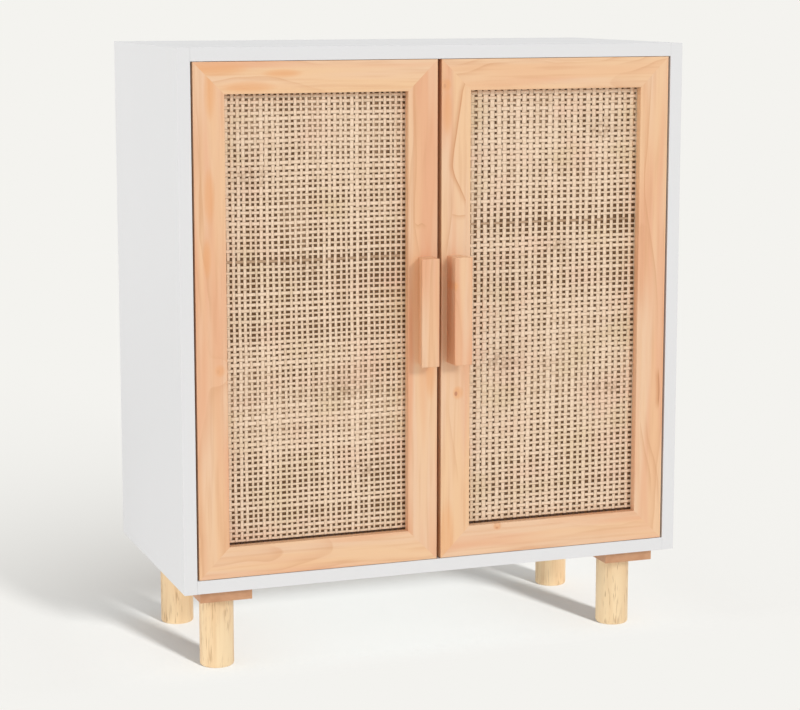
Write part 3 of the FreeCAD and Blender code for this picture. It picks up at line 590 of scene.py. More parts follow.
def straight_board(graph, node, board):
    """Where the shaded point lies in a straight board, and the board itself."""
    place = grain_coordinates(graph, board.grain, board_centre(node))
    low_rose, high_rose = board.rose
    rose = low_rose + (high_rose - low_rose) * graph.smooth(place[0], -ROSE_REACH, ROSE_REACH)
    knots = [(*knot, 1) for knot in board.knots]
    return place, board._replace(rose=rose, knots=knots)


def bead_board(graph, node, side):
    """The same for a ring of beads, each of which carries on the grain of the frame beside it."""
    low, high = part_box(node)
    x, _, z = object_place(graph, (low + high) / 2)
    from_side = (high.x - low.x) / 2 - abs(x)
    from_end = (high.z - low.z) / 2 - abs(z)
    upright = from_end - from_side > 0
    at_right = x > 0
    at_top = z > 0
    stiles = [f"{side}_door_hinge_stile", f"{side}_door_meeting_stile"]
    if side == "right":
        stiles.reverse()
    weights = {
        stiles[0]: upright * (1 - at_right),
        stiles[1]: upright * at_right,
        f"{side}_door_top_rail": (1 - upright) * at_top,
        f"{side}_door_bottom_rail": (1 - upright) * (1 - at_top),
    }
    beside = [FRAME_BOARDS[member] for member in weights]

    def here(numbers):
        """The number that belongs to the one bead whose weight is 1."""
        return sum(weight * number for weight, number in zip(weights.values(), numbers))

    places = [
        grain_coordinates(graph, board.grain, board_centre(member)) for member, board in zip(weights, beside)
    ]
    return [here(axis) for axis in zip(*places)], Board(
        grain=None,
        seed=here(board.seed for board in beside),
        pith=[here(board.pith[axis] for board in beside) for axis in (0, 1)],
        lean=[here(board.lean[axis] for board in beside) for axis in (0, 1)],
        ring=here(board.ring for board in beside),
        rose=here(sum(board.rose) / 2 for board in beside),
        gold=here(board.gold for board in beside),
        knots=[(*knot, weight) for weight, board in zip(weights.values(), beside) for knot in board.knots],
    )


def near_spot(along, across, middle, radius, shape):
    """The distance from a spot's middle, squared, where 1 is the edge of an oval."""
    half_length, half_width = (side * radius for side in shape)
    return ((along - middle[0]) / half_length) ** 2 + ((across - middle[1]) / half_width) ** 2


def bent_by_knots(graph, along, across, knots):
    """How far knots push the rings aside, the stained wood round them and their dark eyes. A knot
    without an eye is a stain alone, drawn out along the grain."""
    push, stain, eye = 0.0, 0.0, 0.0
    for place_along, place_across, radius, darkness, weight in knots:
        middle = (place_along, place_across)
        if not darkness:
            reach = near_spot(along, across, middle, radius, STAIN_SHAPE)
            stain = stain + weight * (1 - graph.smooth(reach, 0.0, 2.2))
        else:
            reach = near_spot(along, across, middle, radius, KNOT_SHAPE)
            stain = stain + weight * (1 - graph.smooth(reach, 0.0, 1.6))
            push = push + weight * (KNOT_PUSH * radius / (1 + reach * 0.4))
            off_middle = (place_along - 0.15 * radius, place_across - 0.4 * radius)
            pupil = near_spot(along, across, off_middle, radius, EYE_SHAPE)
            eye = eye + weight * darkness * (1 - graph.smooth(pupil, 0.2, 1.2))
    return push, stain, eye


def single_lines(graph, along, across, lines):
    """How dark the wood is on a board's single growth lines: it darkens towards each line from one
    side, and ends sharply on the other."""
    dark = 0.0
    for line in lines:
        run, side = (across, along) if line.across else (along, across)
        place = line.points[0][1]
        for (start, before), (end, after) in zip(line.points, line.points[1:]):
            ease = LINE_EASE * (end - start)
            place = place + (after - before) * graph.smooth(run, start - ease, end + ease)
        past = side - place
        faint = graph.smooth(past, -LINE_FAINT[0], -LINE_FAINT[1])
        inked = 0.6 * faint + 0.4 * graph.smooth(past, -LINE_STRONG, 0.0)
        inked = inked * (1 - graph.smooth(past, 0.0, LINE_FAR_SIDE))
        first, last = line.points[0][0], line.points[-1][0]
        fade = LINE_FADE * (last - first)
        inked = inked * graph.smooth(run, first - fade, first + fade)
        inked = inked * (1 - graph.smooth(run, last - fade, last + fade))
        dark = graph.math("MAXIMUM", line.depth * inked, dark)
    return dark


def figure(graph, name, place, seed):
    """One figure of the wood, from 0 to 1, drawn out along the grain."""
    along, across, ways, detail = FIGURES[name]
    moved = [
        axis * fineness + way * seed if way else axis * fineness
        for axis, fineness, way in zip(place, (along, across, across), ways)
    ]
    return graph.noise(*moved, detail)


def growth_rings(graph, draw, place, board, seed, push):
    """How dark the late wood is: rings round a leaning pith, cut by the board's faces."""
    along, across, deep = place
    from_pith_across = across - board.pith[0] - board.lean[0] * along
    from_pith_deep = deep - board.pith[1] - board.lean[1] * along
    radius = (from_pith_across ** 2 + from_pith_deep ** 2) ** 0.5
    years = (radius + RING_WANDER * draw("wander") + RING_RIPPLE * draw("ripple") + push) / board.ring
    season = years.math("FRACT")
    heft = graph.noise(years.math("FLOOR") * 5.3 - seed, seed, 4, 0)
    late = 0.6 * graph.smooth(season, 0.25, 0.92) + 0.4 * graph.smooth(season, 0.7, 0.93)
    late = late * (1 - graph.smooth(season, 0.94, 1.0))
    return late * graph.smooth(heft + 0.9 * (draw("fade") - 0.5), 0.36, 0.64)


def pine_material(name, find_board, look, settings, lines=()):
    """Lacquered pine: soft pink and golden zones, growth rings, streaks, fibres, flecks and knots."""
    graph = material_graph(name)
    place, board = find_board(graph)
    along, across, _ = place
    seed = board.seed * SEED_STEP
    draw = partial(figure, graph, place=place, seed=seed)
    push, stain, eye = bent_by_knots(graph, along, across, board.knots)
    late = growth_rings(graph, draw, place, board, seed, push) * settings.ring_contrast
    streak = draw("streak")
    fibre = draw("fibre")
    wood = graph.mix(look.pale, look.rose, board.rose + 1.1 * (graph.smooth(draw("rosy"), 0.3, 0.7) - 0.5))
    wood = graph.mix(wood, look.gold, board.gold + 0.9 * (graph.smooth(draw("golden"), 0.3, 0.7) - 0.5))
    wood = graph.mix(wood, look.late, late + 0.26 * graph.smooth(streak, 0.48, 0.75) + 0.08 * (fibre - 0.4))
    if look.fleck is not None:
        fleck = graph.smooth(draw("fleck"), 0.54, 0.68) * graph.smooth(draw("patchy"), 0.34, 0.6)
        wood = graph.mix(wood, look.fleck, 0.5 * fleck)
    if lines:
        dark = single_lines(graph, along, across, lines)
        wood = graph.mix(wood, look.late, dark)
        wood = graph.mix(wood, settings.knot_eye, dark - 1)
    if board.knots:
        wood = graph.mix(wood, settings.knot, stain * (0.2 + 0.7 * streak))
        wood = graph.mix(wood, settings.knot_eye, 0.7 * eye)
    inputs = {
        "Base Color": wood,
        "Roughness": settings.lacquer_roughness + 0.08 * late,
        "Coat Roughness": 0.3,
        "Coat Weight": 0.12,
    }
    return surface(graph, inputs, 0.4 * fibre - 0.6 * late, PINE_DEPTH)


def frame_look(settings):
    """The pine of the door frames, beads and handles."""
    return Look(settings.frame_pale, settings.frame_late, settings.frame_rose, settings.frame_gold)


def leg_look(settings):
    """The yellower pine of the legs, with short dark streaks."""
    pale, late = settings.leg_pale, settings.leg_late
    return Look(pale, late, rose=late, gold=pale, fleck=settings.leg_fleck)


def rail_look(settings):
    """The leg rails' pine, in colours darker than the legs'."""
    pale, late = settings.rail_pale, settings.rail_late
    return Look(pale, late, rose=late, gold=pale)


def finish_node(node, material):
    """Gives a CAD node its material."""
    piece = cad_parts.get(node)
    if piece is None:
        raise RuntimeError(f"the frame holds no node named {node}")
    for slot in piece.material_slots:
        slot.material = material


def finish_straight_boards(context, boards, look):
    """A pine of its own for each straight board, measured from the board's middle."""
    settings = context.scene.record_cabinet.pine
    for node, board in boards.items():
        find_board = partial(straight_board, node=node, board=board)
        lines = GROWTH_LINES.get(node, ())
        finish_node(node, pine_material(f"pine_{node}", find_board, look(settings), settings, lines))


def finish_beads(settings):
    """A pine for each door's ring of beads."""
    for side in SIDES:
        node = f"{side}_door_cane_beads"
        find_board = partial(bead_board, node=node, side=side)
        finish_node(node, pine_material(f"pine_{node}", find_board, frame_look(settings), settings))


# ---- fittings

METAL_DEPTH = 0.00001
PLAIN_DEPTH = 0.00002


def metal_material(name, tint, roughness):
    """Plated or plain metal, with fine tumbling marks."""
    graph = material_graph(name)
    place = object_place(graph)
    marks = graph.even_noise(place, 2200, 3)
    bloom = graph.even_noise(place, 180, 2)
    inputs = {
        "Base Color": graph.mix(tint, dimmed(tint, 0.82), bloom),
        "Metallic": 1.0,
        "Roughness": roughness + 0.16 * (marks - 0.5) + 0.1 * (bloom - 0.5),
    }
    return surface(graph, inputs, marks, METAL_DEPTH)


def plain_material(name, tint, roughness, fineness):
    """Moulded plastic, ferrite or turned dowel: an even colour with a faint texture."""
    graph = material_graph(name)
    texture = graph.even_noise(object_place(graph), fineness, 2)
    inputs = {
        "Base Color": graph.mix(tint, dimmed(tint, 0.86), texture),
        "Roughness": roughness + 0.12 * (texture - 0.5),
    }
    return surface(graph, inputs, texture, PLAIN_DEPTH)


# ---- cane weave

# Small stains in the cane: place across the front, height and radius.
CANE_STAINS = (
    (-0.110, 0.318, 0.016),
    (0.080, 0.340, 0.015),
    (-0.215, 0.560, 0.014),
    (-0.150, 0.455, 0.011),
    (0.205, 0.600, 0.012),
    (0.150, 0.470, 0.011),
    (-0.080, 0.225, 0.012),
    (0.215, 0.300, 0.011),
)
STAIN_STRETCH = 2.2
DARK_STRAND_HEIGHTS = {"left": 0.469, "right": 0.496}
SWELL_PEAKS = {"left": 0.300, "right": 0.328}
WEAVE_SEEDS = {"left": 3.0, "right": 11.0}
SAMPLES_PER_CROSSING = 4
OUTLINE_POINTS = 6
BEAD_WIDTH = 0.006
CANE_DEPTH = 0.00006
BACKING_DEPTH = 0.00002
BACKING_SPECULAR = 0.1

# How fast the strands' places change: from each strand to the next, along one strand, and over the
# whole panel, per column and per row.
STRAND_PACE = 0.83
ALONG_PACE = 0.05
DRIFT_PACE = (0.07, 0.05)

WEAVE_INPUTS = {
    "Float": (
        "Run", "Span", "Strand Width", "Thickness", "Lift", "Upright", "Wander", "Uneven", "Patchiness",
        "Swell", "Swell Peak", "Swell Period", "Seed",
    ),
    "Int": ("Strands", "Crossings", "Dark Strand"),
    "Vector": ("Centre",),
    "Material": ("Material",),
}
WEAVE_SETTINGS = ("Thickness", "Lift", "Wander", "Uneven", "Patchiness", "Swell", "Swell Period")


def store(graph, geometry, name, value):
    """Keeps a number on each point, for later nodes and for the material."""
    return graph.node(
        "GeometryNodeStoreNamedAttribute",
        {"data_type": "FLOAT", "domain": "POINT"},
        {"Geometry": geometry, "Name": name, "Value": value},
    )


def named(graph, name):
    """A number that store kept."""
    return graph.node("GeometryNodeInputNamedAttribute", {"data_type": "FLOAT"}, {"Name": name})


def point_place(graph):
    """X, Y and Z of each point, as it now is."""
    return graph.split(graph.node("GeometryNodeInputPosition"))


def strand_lines(graph, given):
    """Straight strands along X, side by side in Y, each with its number and its tone."""
    pitch = given["Span"] / given["Strands"]
    starts = graph.node(
        "GeometryNodeMeshLine",
        {"mode": "OFFSET"},
        {
            "Count": given["Strands"],
            "Start Location": graph.vector(0, (pitch - given["Span"]) * 0.5, 0),
            "Offset": graph.vector(0, pitch, 0),
        },
    )
    number = graph.node("GeometryNodeInputIndex")
    tone = graph.node(
        "FunctionNodeRandomValue", {"data_type": "FLOAT"}, {"ID": number, "Seed": given["Seed"]}
    )
    starts = store(graph, starts, "number", number)
    starts = store(graph, starts, "tone", tone)
    line = graph.node(
        "GeometryNodeCurvePrimitiveLine",
        None,
        {"Start": graph.vector(given["Run"] * -0.5, 0, 0), "End": graph.vector(given["Run"] * 0.5, 0, 0)},
    )
    samples = given["Crossings"] * SAMPLES_PER_CROSSING + 1
    line = graph.node("GeometryNodeResampleCurve", {"mode": "COUNT"}, {"Curve": line, "Count": samples})
    placed = graph.node("GeometryNodeInstanceOnPoints", None, {"Points": starts, "Instance": line})
    return graph.node("GeometryNodeRealizeInstances", None, {"Geometry": placed})


def woven_places(graph, given, x, y, wave):
    """Where each point of a strand goes: turned upright if asked, and drifting out of true."""
    upright = given["Upright"]
    level = x + (y - x) * upright
    height = y + (x - y) * upright
    run_step = given["Run"] / given["Crossings"]
    span_step = given["Span"] / given["Strands"]
    column = level / (run_step + (span_step - run_step) * upright)
    row = height / (span_step + (run_step - span_step) * upright)
    seed = given["Seed"]
    uneven = graph.noise(column * STRAND_PACE, row * ALONG_PACE, seed) - 0.5
    ragged = graph.noise(column * ALONG_PACE, row * STRAND_PACE, seed + 9) - 0.5
    drift = graph.noise(column * DRIFT_PACE[0], row * DRIFT_PACE[1], seed + 21) - 0.5
    level = level + given["Wander"] * (uneven + 0.5 * drift)
    height = height + given["Wander"] * (0.4 * ragged + 0.8 * drift)
    return level, height, wave * given["Lift"]


def weave_tree():
    """Geometry Nodes for one set of strands in a plain weave, facing -Y."""
    tree = bpy.data.node_groups.new("cane_weave", "GeometryNodeTree")
    for kind, names in WEAVE_INPUTS.items():
        for name in names:
            tree.interface.new_socket(name=name, in_out="INPUT", socket_type=f"NodeSocket{kind}")
    tree.interface.new_socket(name="Mesh", in_out="OUTPUT", socket_type="NodeSocketGeometry")
    graph = Graph(tree)
    given = graph.node("NodeGroupInput")
    strands = strand_lines(graph, given)
    x, y, _ = point_place(graph)
    number = named(graph, "number")
    crossing = (x / given["Run"] + 0.5) * given["Crossings"] - 0.5
    over = 1 - 2 * given["Upright"]
    wave = ((crossing + number) * math.pi).math("COSINE") * over
    strands = store(graph, strands, "lift", wave)
    strands = store(graph, strands, "dark", 1 - graph.smooth(abs(number - given["Dark Strand"]), 0.3, 0.6))
    level, height, rise = woven_places(graph, given, x, y, wave)
    strands = graph.node(
        "GeometryNodeSetPosition", None, {"Geometry": strands, "Position": graph.vector(level, height, rise)}
    )
    strands = graph.node("GeometryNodeSetCurveNormal", {"mode": "Z_UP"}, {"Curve": strands})
    now_across, now_high, _ = point_place(graph)
    patch = graph.noise(now_across * 16, now_high * 12, given["Seed"] + 40) - 0.5
    _, _, middle = graph.split(given["Centre"])
    cycle = (now_high + middle - given["Swell Peak"]) / given["Swell Period"]
    swelling = (cycle * math.tau).math("COSINE") * given["Swell"]
    uneven_width = given["Uneven"] * (named(graph, "tone") - 0.5)
    width = 1 + swelling + uneven_width + given["Patchiness"] * patch
    outline = graph.node(
        "GeometryNodeCurvePrimitiveCircle", {"mode": "RADIUS"}, {"Resolution": OUTLINE_POINTS, "Radius": 0.5}
    )
    from_middle, _, _ = point_place(graph)
    outline = store(graph, outline, "edge", abs(from_middle) * 2)
    outline = graph.node(
        "GeometryNodeTransform",
        None,
        {"Geometry": outline, "Scale": graph.vector(given["Strand Width"], given["Thickness"], 1)},
    )
    mesh = graph.node(
        "GeometryNodeCurveToMesh",
        None,
        {"Curve": strands, "Profile Curve": outline, "Scale": width, "Fill Caps": True},
    )
    mesh = graph.node(
        "GeometryNodeTransform",
        None,
        {"Geometry": mesh, "Translation": given["Centre"], "Rotation": (math.radians(90), 0, 0)},
    )
    mesh = graph.node("GeometryNodeRealizeInstances", None, {"Geometry": mesh})
    mesh = graph.node("GeometryNodeSetMaterial", None, {"Geometry": mesh, "Material": given["Material"]})
    graph.node("NodeGroupOutput", None, {"Mesh": mesh})
    return tree


def strand_material(name, upright, sight_edge, look):
    """Matt peeled cane: each strand its own tone, with fibres, patches, stains and a dark strand. Its rough
    edges are darker, partly in their own colour and partly as painted shade;
    it carries painted shade where it dips under a crossing strand, and a band of painted shade just over the
    bottom bead."""
    graph = material_graph(name)
    x, y, z = object_place(graph)
    along, across = (z, x) if upright else (x, z)
    tone = graph.attribute("tone")
    fibre = graph.noise(along * 60, across * 1800, y * 1800, 2)
    length_wise = graph.noise(along * 26, tone * 40, 0, 2)
    mottle = graph.noise(x * 260, z * 260, 1)
    patch = graph.noise(x * 16, z * 22, 3, 3)
    olive_patch = graph.noise(x * 14, z * 18, 17, 3)
    dull = 0.5 * (1 - tone) + 0.5 * graph.smooth(length_wise, 0.42, 0.72) + 0.3 * (fibre - 0.4)
    dull = dull + 1.2 * (mottle - 0.5)
    cane = graph.mix(look.pale, look.shade, dull)
    cane = graph.mix(cane, look.rose, 0.6 * graph.smooth(patch, 0.48, 0.72))
    cane = graph.mix(cane, look.olive, 0.5 * graph.smooth(olive_patch, 0.5, 0.74))
    stain = 0.0
    for place_across, height, radius in CANE_STAINS:
        aside = (x - place_across) / (STAIN_STRETCH * radius)
        stain = stain + (1 - graph.smooth((aside ** 2 + ((z - height) / radius) ** 2) ** 0.5, 0.0, 1.3))
    blotch = graph.noise(x * 170, z * 170, 5)
    cane = graph.mix(cane, look.dark, 0.5 * stain * graph.smooth(blotch, 0.4, 0.62))
    cane = graph.mix(cane, look.dark, 0.75 * graph.attribute("dark"))
    # Painted shade where a strand dips under a crossing one, and at its edges partly real rough colour and
    # partly painted contact shade.
    painted_dip_shade = 1 - graph.smooth(graph.attribute("lift"), -0.4, 0.7)
    rim = graph.smooth(graph.attribute("edge"), 0.5, 1.0)
    cane = graph.mix(cane, look.edge, 0.06 * painted_dip_shade + 0.1 * rim)
    # Painted shade: the cane turns dark brown in a band just over the bottom bead.
    painted_bead_shade_mask = 1 - graph.smooth(z, sight_edge + 0.8 * look.painted_bead_shade_height, sight_edge + 1.2 * look.painted_bead_shade_height)
    cane = graph.mix(cane, look.painted_bead_shade, painted_bead_shade_mask)
    return surface(graph, {"Base Color": cane, "Roughness": 0.62 - 0.1 * fibre}, fibre, CANE_DEPTH)


def backing_material(name, middle, look):
    """The board behind the cane: on the front its brown is partly the board's stain and partly painted shade
    for holes in deep shade, and its paler streaks, patches and bands up the door are painted light for holes
    that are lit;
    on the inside of the door, past the board's middle, it is bare thin plywood."""
    graph = material_graph(name)
    place = object_place(graph)
    x, y, z = place
    streak = graph.noise(x * 150, z * 7, 2, 0)
    patch = graph.noise(x * 16, z * 12, 8)
    fibre = graph.even_noise(place, 700, 2)
    mean_peak = sum(SWELL_PEAKS.values()) / len(SWELL_PEAKS)
    cycle = ((z - mean_peak) / look.swell_period * math.tau).math("COSINE")
    # Painted light: the pale streaks, patches and bands stand in for lit holes, the brown between them partly
    # for holes in deep shade.
    pale = graph.smooth(0.4 * streak + 0.5 * patch + 0.1 * cycle, 0.45, 0.68)
    stained = graph.mix(look.backing, look.backing_painted_light, 0.8 * pale + 0.25 * (fibre - 0.4))
    grain = graph.noise(x * 5, z * 240, 6, 3)
    flow = graph.noise(x * 3, z * 34, 9, 2)
    bare = graph.mix(look.veneer, look.veneer_late, 0.6 * grain + 0.9 * (flow - 0.35))
    inputs = {
        "Base Color": graph.mix(stained, bare, y > middle),
        "Roughness": 0.75 - 0.1 * fibre,
        "Specular IOR Level": BACKING_SPECULAR,
    }
    return surface(graph, inputs, fibre, BACKING_DEPTH)


def modifier_values(modifier, values):
    """Sets a Geometry Nodes modifier's inputs by their sockets' identifiers."""
    for item in modifier.node_group.interface.items_tree:
        if item.item_type == "SOCKET" and item.in_out == "INPUT":
            modifier[item.identifier] = values[item.name]


def woven_piece(name, tree, values):
    """Runs the weave tree and keeps its result as a plain mesh."""
    piece = add_object(name, bpy.data.meshes.new(name))
    modifier = piece.modifiers.new("weave", "NODES")
    modifier.node_group = tree
    modifier_values(modifier, values)
    depsgraph = bpy.context.evaluated_depsgraph_get()
    woven = bpy.data.meshes.new_from_object(
        piece.evaluated_get(depsgraph), preserve_all_data_layers=True, depsgraph=depsgraph
    )
    if not woven.polygons:
        raise RuntimeError(f"{name} came out empty")
    piece.modifiers.remove(modifier)
    piece.data = woven
    return piece


def weave_panel(side, tree, look, materials):
    """The level and the upright strands of one door's panel."""
    node = f"{side}_door_cane_panel"
    low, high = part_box(node)
    wide = high.x - low.x
    tall = high.z - low.z
    columns = getattr(look, f"{side}_columns")
    rows = getattr(look, f"{side}_rows")
    column_pitch = wide / columns
    row_pitch = tall / rows
    dark_row = round((DARK_STRAND_HEIGHTS[side] - low.z) / row_pitch - 0.5)
    common = {name: getattr(look, name.lower().replace(" ", "_")) for name in WEAVE_SETTINGS}
    common.update({"Swell Peak": SWELL_PEAKS[side], "Seed": WEAVE_SEEDS[side], "Centre": (low + high) / 2})
    sets = {
        "level": {
            "Run": wide, "Span": tall, "Strands": rows, "Crossings": columns,
            "Strand Width": row_pitch - look.gap_tall, "Upright": 0.0, "Dark Strand": dark_row,
        },
        "upright": {
            "Run": tall, "Span": wide, "Strands": columns, "Crossings": rows,
            "Strand Width": column_pitch - look.gap_wide, "Upright": 1.0, "Dark Strand": -1,
        },
    }
    for lie, values in sets.items():
        piece = woven_piece(
            f"{side}_door_cane_{lie}_strands", tree, {**common, **values, "Material": materials[lie]}
        )
        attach(piece, f"{side}_door")
        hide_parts(node)


# ---- stage

LAMP_DISTANCE = 4
SENSOR_WIDTH = 36
CAMERA_REACH = 200


def direction_to_lamp(turn, height):
    """The way from the cabinet to a lamp, turned right of the front and raised."""
    return Vector(
        (math.sin(turn) * math.cos(height), -math.cos(turn) * math.cos(height), math.sin(height))
    )


def make_lamp(name, look, lit, glossy):
    """A distant lamp that shines only on what its collection holds or leaves in, with or without
    a reflection in gloss."""
    lamp = add_object(name, bpy.data.lights.new(name, "SUN"))
    lamp.data.energy = getattr(look, f"{name}_strength")
    lamp.data.angle = getattr(look, f"{name}_softness")
    lamp.visible_glossy = glossy
    towards = direction_to_lamp(getattr(look, f"{name}_turn"), getattr(look, f"{name}_height"))
    lamp.location = towards * LAMP_DISTANCE
    lamp.rotation_euler = towards.to_track_quat("Z", "Y").to_euler()
    lamp.light_linking.receiver_collection = lit


def lit_by_lamps(name, pieces, link_state):
    """A collection for lamps that names the only pieces lit, or the only ones left out."""
    lit = bpy.data.collections.new(name)
    for piece in pieces:
        lit.objects.link(piece)
    for member in lit.collection_objects:
        member.light_linking.link_state = link_state
    return lit


def make_world(look):
    """Even white light, seen by the camera and in gloss as the background's colour."""
    scene = bpy.context.scene
    scene.world = scene.world or bpy.data.worlds.new("studio")
    scene.world.use_nodes = True
    graph = Graph(scene.world.node_tree)
    light = graph.node("ShaderNodeBackground", None, {"Color": (1, 1, 1), "Strength": look.sky_strength})
    backdrop = graph.node("ShaderNodeBackground", None, {"Color": look.floor, "Strength": 1.0})
    ray = graph.node("ShaderNodeLightPath", None, None, "Is Camera Ray")
    seen = graph.math("MAXIMUM", ray, graph.math("MAXIMUM", ray["Is Glossy Ray"], ray["Is Transmission Ray"]))
    both = graph.node("ShaderNodeMixShader", None, {0: seen, 1: light, 2: backdrop})
    graph.node("ShaderNodeOutputWorld", None, {"Surface": both})


def floor_material(name, look):
    """A plain pale floor whose shadow fades into the background behind the cabinet."""
    graph = material_graph(name)
    x, y, _ = object_place(graph)
    away = (x ** 2 + y ** 2) ** 0.5
    fading = ((look.fade_start - away) / look.fade_length).math("EXPONENT").math("MINIMUM", 1.0)
    shadow = fading * graph.smooth(y, look.shadow_front, look.shadow_full) * (1 - look.floor_glow)
    ray = graph.node("ShaderNodeLightPath", None, None, "Is Camera Ray")
    beyond = (abs(x) - look.near_width).math("MAXIMUM", abs(y) - look.near_depth)
    paint = graph.mix(look.near_paint, look.floor_paint, graph.smooth(beyond, 0.0, look.near_reach))
    near = graph.node("ShaderNodeBsdfDiffuse", None, {"Color": paint})
    far = graph.node("ShaderNodeEmission", None, {"Color": look.floor, "Strength": 1.0})
    both = graph.node("ShaderNodeMixShader", None, {0: (1 - shadow) * ray, 1: near, 2: far})
    graph.node("ShaderNodeOutputMaterial", None, {"Surface": both})
    return graph.material


def make_floor(look):
    """One large square, just under the feet."""
    reach = look.floor_size
    corners = [(-reach, -reach, 0), (reach, -reach, 0), (reach, reach, 0), (-reach, reach, 0)]
    mesh = bpy.data.meshes.new("studio_floor")
    mesh.from_pydata(corners, [], [(0, 1, 2, 3)])
    mesh.materials.append(floor_material("studio_floor", look))
    floor = add_object("studio_floor", mesh)
    return floor


def make_camera(look):
    """The camera, standing left of the front and looking a little down."""
    camera = add_object("camera", bpy.data.cameras.new("camera"))
    camera.data.sensor_width = SENSOR_WIDTH
    camera.data.lens = look.camera_lens
    camera.data.shift_y = look.camera_shift
    camera.data.clip_end = CAMERA_REACH
    camera.location = look.camera_place
    camera.rotation_euler = (math.radians(90) - look.camera_tilt, 0, -look.camera_turn)
    bpy.context.scene.camera = camera


# ---- operators


class CABINET_OT_boards(Operator):
    """Covers the carcass boards and the shelf with white foil"""

    bl_idname = "cabinet.boards"
    bl_label = "Foil Boards"

    def execute(self, context):
        foil = foil_material("white_foil", context.scene.record_cabinet.boards)
        for node in ("left_side_panel", "right_side_panel", "top_panel", "bottom_panel", "shelf"):
            finish_node(node, foil)
        return {"FINISHED"}


class CABINET_OT_back(Operator):
    """Finishes the back panel as brown hardboard"""

    bl_idname = "cabinet.back"
    bl_label = "Back Panel"

    def execute(self, context):
        finish_node("back_panel", hardboard_material("brown_hardboard", context.scene.record_cabinet.boards))
        return {"FINISHED"}


class CABINET_OT_door_frames(Operator):
    """Finishes the stiles and rails of both door frames in pine"""

    bl_idname = "cabinet.door_frames"
    bl_label = "Door Frames"

    def execute(self, context):
        finish_straight_boards(context, FRAME_BOARDS, frame_look)
        return {"FINISHED"}


class CABINET_OT_beads(Operator):
    """Finishes the mitred beads that hold the cane"""

    bl_idname = "cabinet.beads"
    bl_label = "Cane Beads"

    def execute(self, context):
        finish_beads(context.scene.record_cabinet.pine)
        return {"FINISHED"}


class CABINET_OT_handles(Operator):
    """Finishes both bar handles in pine"""

    bl_idname = "cabinet.handles"
    bl_label = "Handles"

    def execute(self, context):
        finish_straight_boards(context, HANDLE_BOARDS, frame_look)
        return {"FINISHED"}


class CABINET_OT_legs(Operator):
    """Finishes the four turned legs in yellow pine"""

    bl_idname = "cabinet.legs"
    bl_label = "Legs"

    def execute(self, context):
        finish_straight_boards(context, LEG_BOARDS, leg_look)
        return {"FINISHED"}


class CABINET_OT_leg_rails(Operator):
    """Finishes the two rails under the carcass in darker pine"""

    bl_idname = "cabinet.leg_rails"
    bl_label = "Leg Rails"

    def execute(self, context):
        finish_straight_boards(context, RAIL_BOARDS, rail_look)
        return {"FINISHED"}


class CABINET_OT_fittings(Operator):
    """Finishes screws, cams, hinges, catches, pins and dowels"""

    bl_idname = "cabinet.fittings"
    bl_label = "Fittings"

    def execute(self, context):
        look = context.scene.record_cabinet.fittings
        finishes = {
            "steel": metal_material("zinc_plate", look.zinc, 0.34),
            "brass": metal_material("plain_brass", look.brass, 0.3),
            "nylon": plain_material("moulded_nylon", look.nylon, 0.45, 900),
            "magnet": plain_material("ferrite", look.magnet, 0.6, 2500),
            "beech": plain_material("turned_beech", look.beech, 0.6, 400),
        }
        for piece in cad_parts.values():
            for slot in piece.material_slots:
                if slot.material and slot.material.name in finishes:
                    slot.material = finishes[slot.material.name]
        return {"FINISHED"}


class CABINET_OT_cane(Operator):
    """Weaves the cane panels of both doors"""

    bl_idname = "cabinet.cane"
    bl_label = "Woven Cane"

    def execute(self, context):
        look = context.scene.record_cabinet.cane
        tree = weave_tree()
        sight_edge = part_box("left_door_cane_beads")[0].z + BEAD_WIDTH
        materials = {
            "level": strand_material("cane_level", False, sight_edge, look),
            "upright": strand_material("cane_upright", True, sight_edge, look),
        }
        for side in SIDES:
            weave_panel(side, tree, look, materials)
        return {"FINISHED"}


class CABINET_OT_backing(Operator):
    """Finishes the thin boards behind the cane"""

    bl_idname = "cabinet.backing"
    bl_label = "Backing Boards"

    def execute(self, context):
        low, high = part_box("left_door_backing_board")
        backing = backing_material("backing_board", (low.y + high.y) / 2, context.scene.record_cabinet.cane)
        for side in SIDES:
            finish_node(f"{side}_door_backing_board", backing)
        return {"FINISHED"}


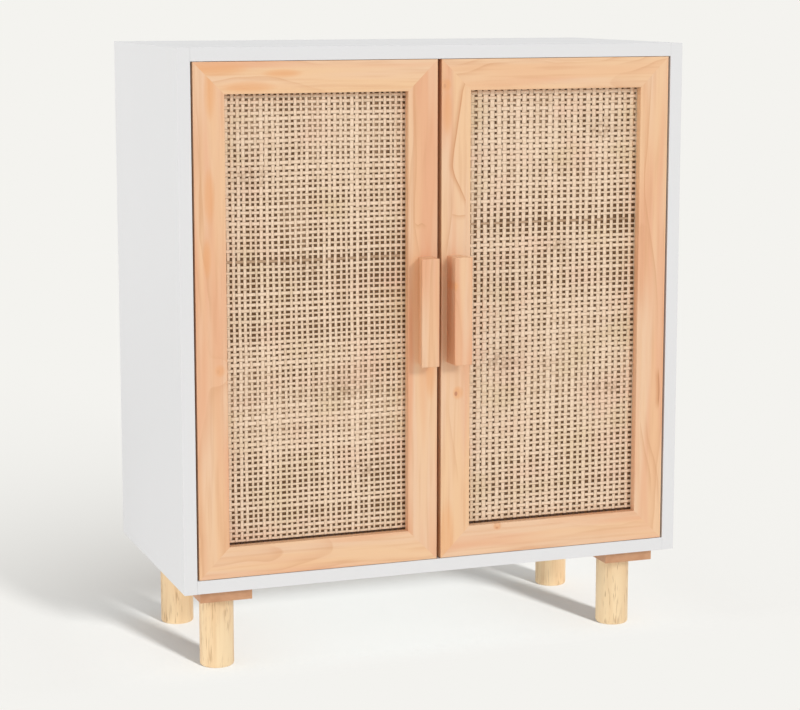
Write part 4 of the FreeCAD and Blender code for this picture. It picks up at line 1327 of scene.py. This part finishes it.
class CABINET_OT_stage(Operator):
    """Sets up the floor, the lights and the camera"""

    bl_idname = "cabinet.stage"
    bl_label = "Stage"

    def execute(self, context):
        settings = context.scene.record_cabinet
        context.scene.view_settings.view_transform = "Standard"
        floor = make_floor(settings.stage)
        make_world(settings.stage)
        back_legs = [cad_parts[f"{side}_back_leg"] for side in SIDES]
        all_but_floor = lit_by_lamps("all_but_floor", [floor], "EXCLUDE")
        lit = dict.fromkeys(LAMPS, all_but_floor)
        lit["floor_lamp"] = lit_by_lamps("floor_alone", [floor], "INCLUDE")
        lit["leg"] = lit_by_lamps("back_legs_alone", back_legs, "INCLUDE")
        for name in LAMPS:
            make_lamp(name, settings.lamps, lit[name], name == "key")
        make_camera(settings.stage)
        return {"FINISHED"}


OPERATORS = (
    CABINET_OT_stage,
    CABINET_OT_boards,
    CABINET_OT_back,
    CABINET_OT_door_frames,
    CABINET_OT_beads,
    CABINET_OT_handles,
    CABINET_OT_legs,
    CABINET_OT_leg_rails,
    CABINET_OT_fittings,
    CABINET_OT_cane,
    CABINET_OT_backing,
)


class CABINET_PT_makers(Panel):
    """Lists the steps and settings of the cabinet"""

    bl_idname = "CABINET_PT_makers"
    bl_label = "Record Cabinet"
    bl_space_type = "VIEW_3D"
    bl_region_type = "UI"
    bl_category = "Cabinet"

    def draw(self, context):
        for operator in OPERATORS:
            self.layout.operator(operator.bl_idname)
        for name, kind in SETTINGS.items():
            box = self.layout.box()
            box.label(text=kind.__doc__)
            for setting in kind.__annotations__:
                box.prop(getattr(context.scene.record_cabinet, name), setting)


CLASSES = (*SETTINGS.values(), CabinetSettings, *OPERATORS, CABINET_PT_makers)


def register():
    for kind in CLASSES:
        bpy.utils.register_class(kind)
    bpy.types.Scene.record_cabinet = PointerProperty(type=CabinetSettings)


def unregister():
    del bpy.types.Scene.record_cabinet
    for kind in reversed(CLASSES):
        bpy.utils.unregister_class(kind)


def main():
    """Makes everything in order."""
    register()
    for operator in OPERATORS:
        group, name = operator.bl_idname.split(".")
        getattr(getattr(bpy.ops, group), name)()


if __name__ == "__main__":
    main()
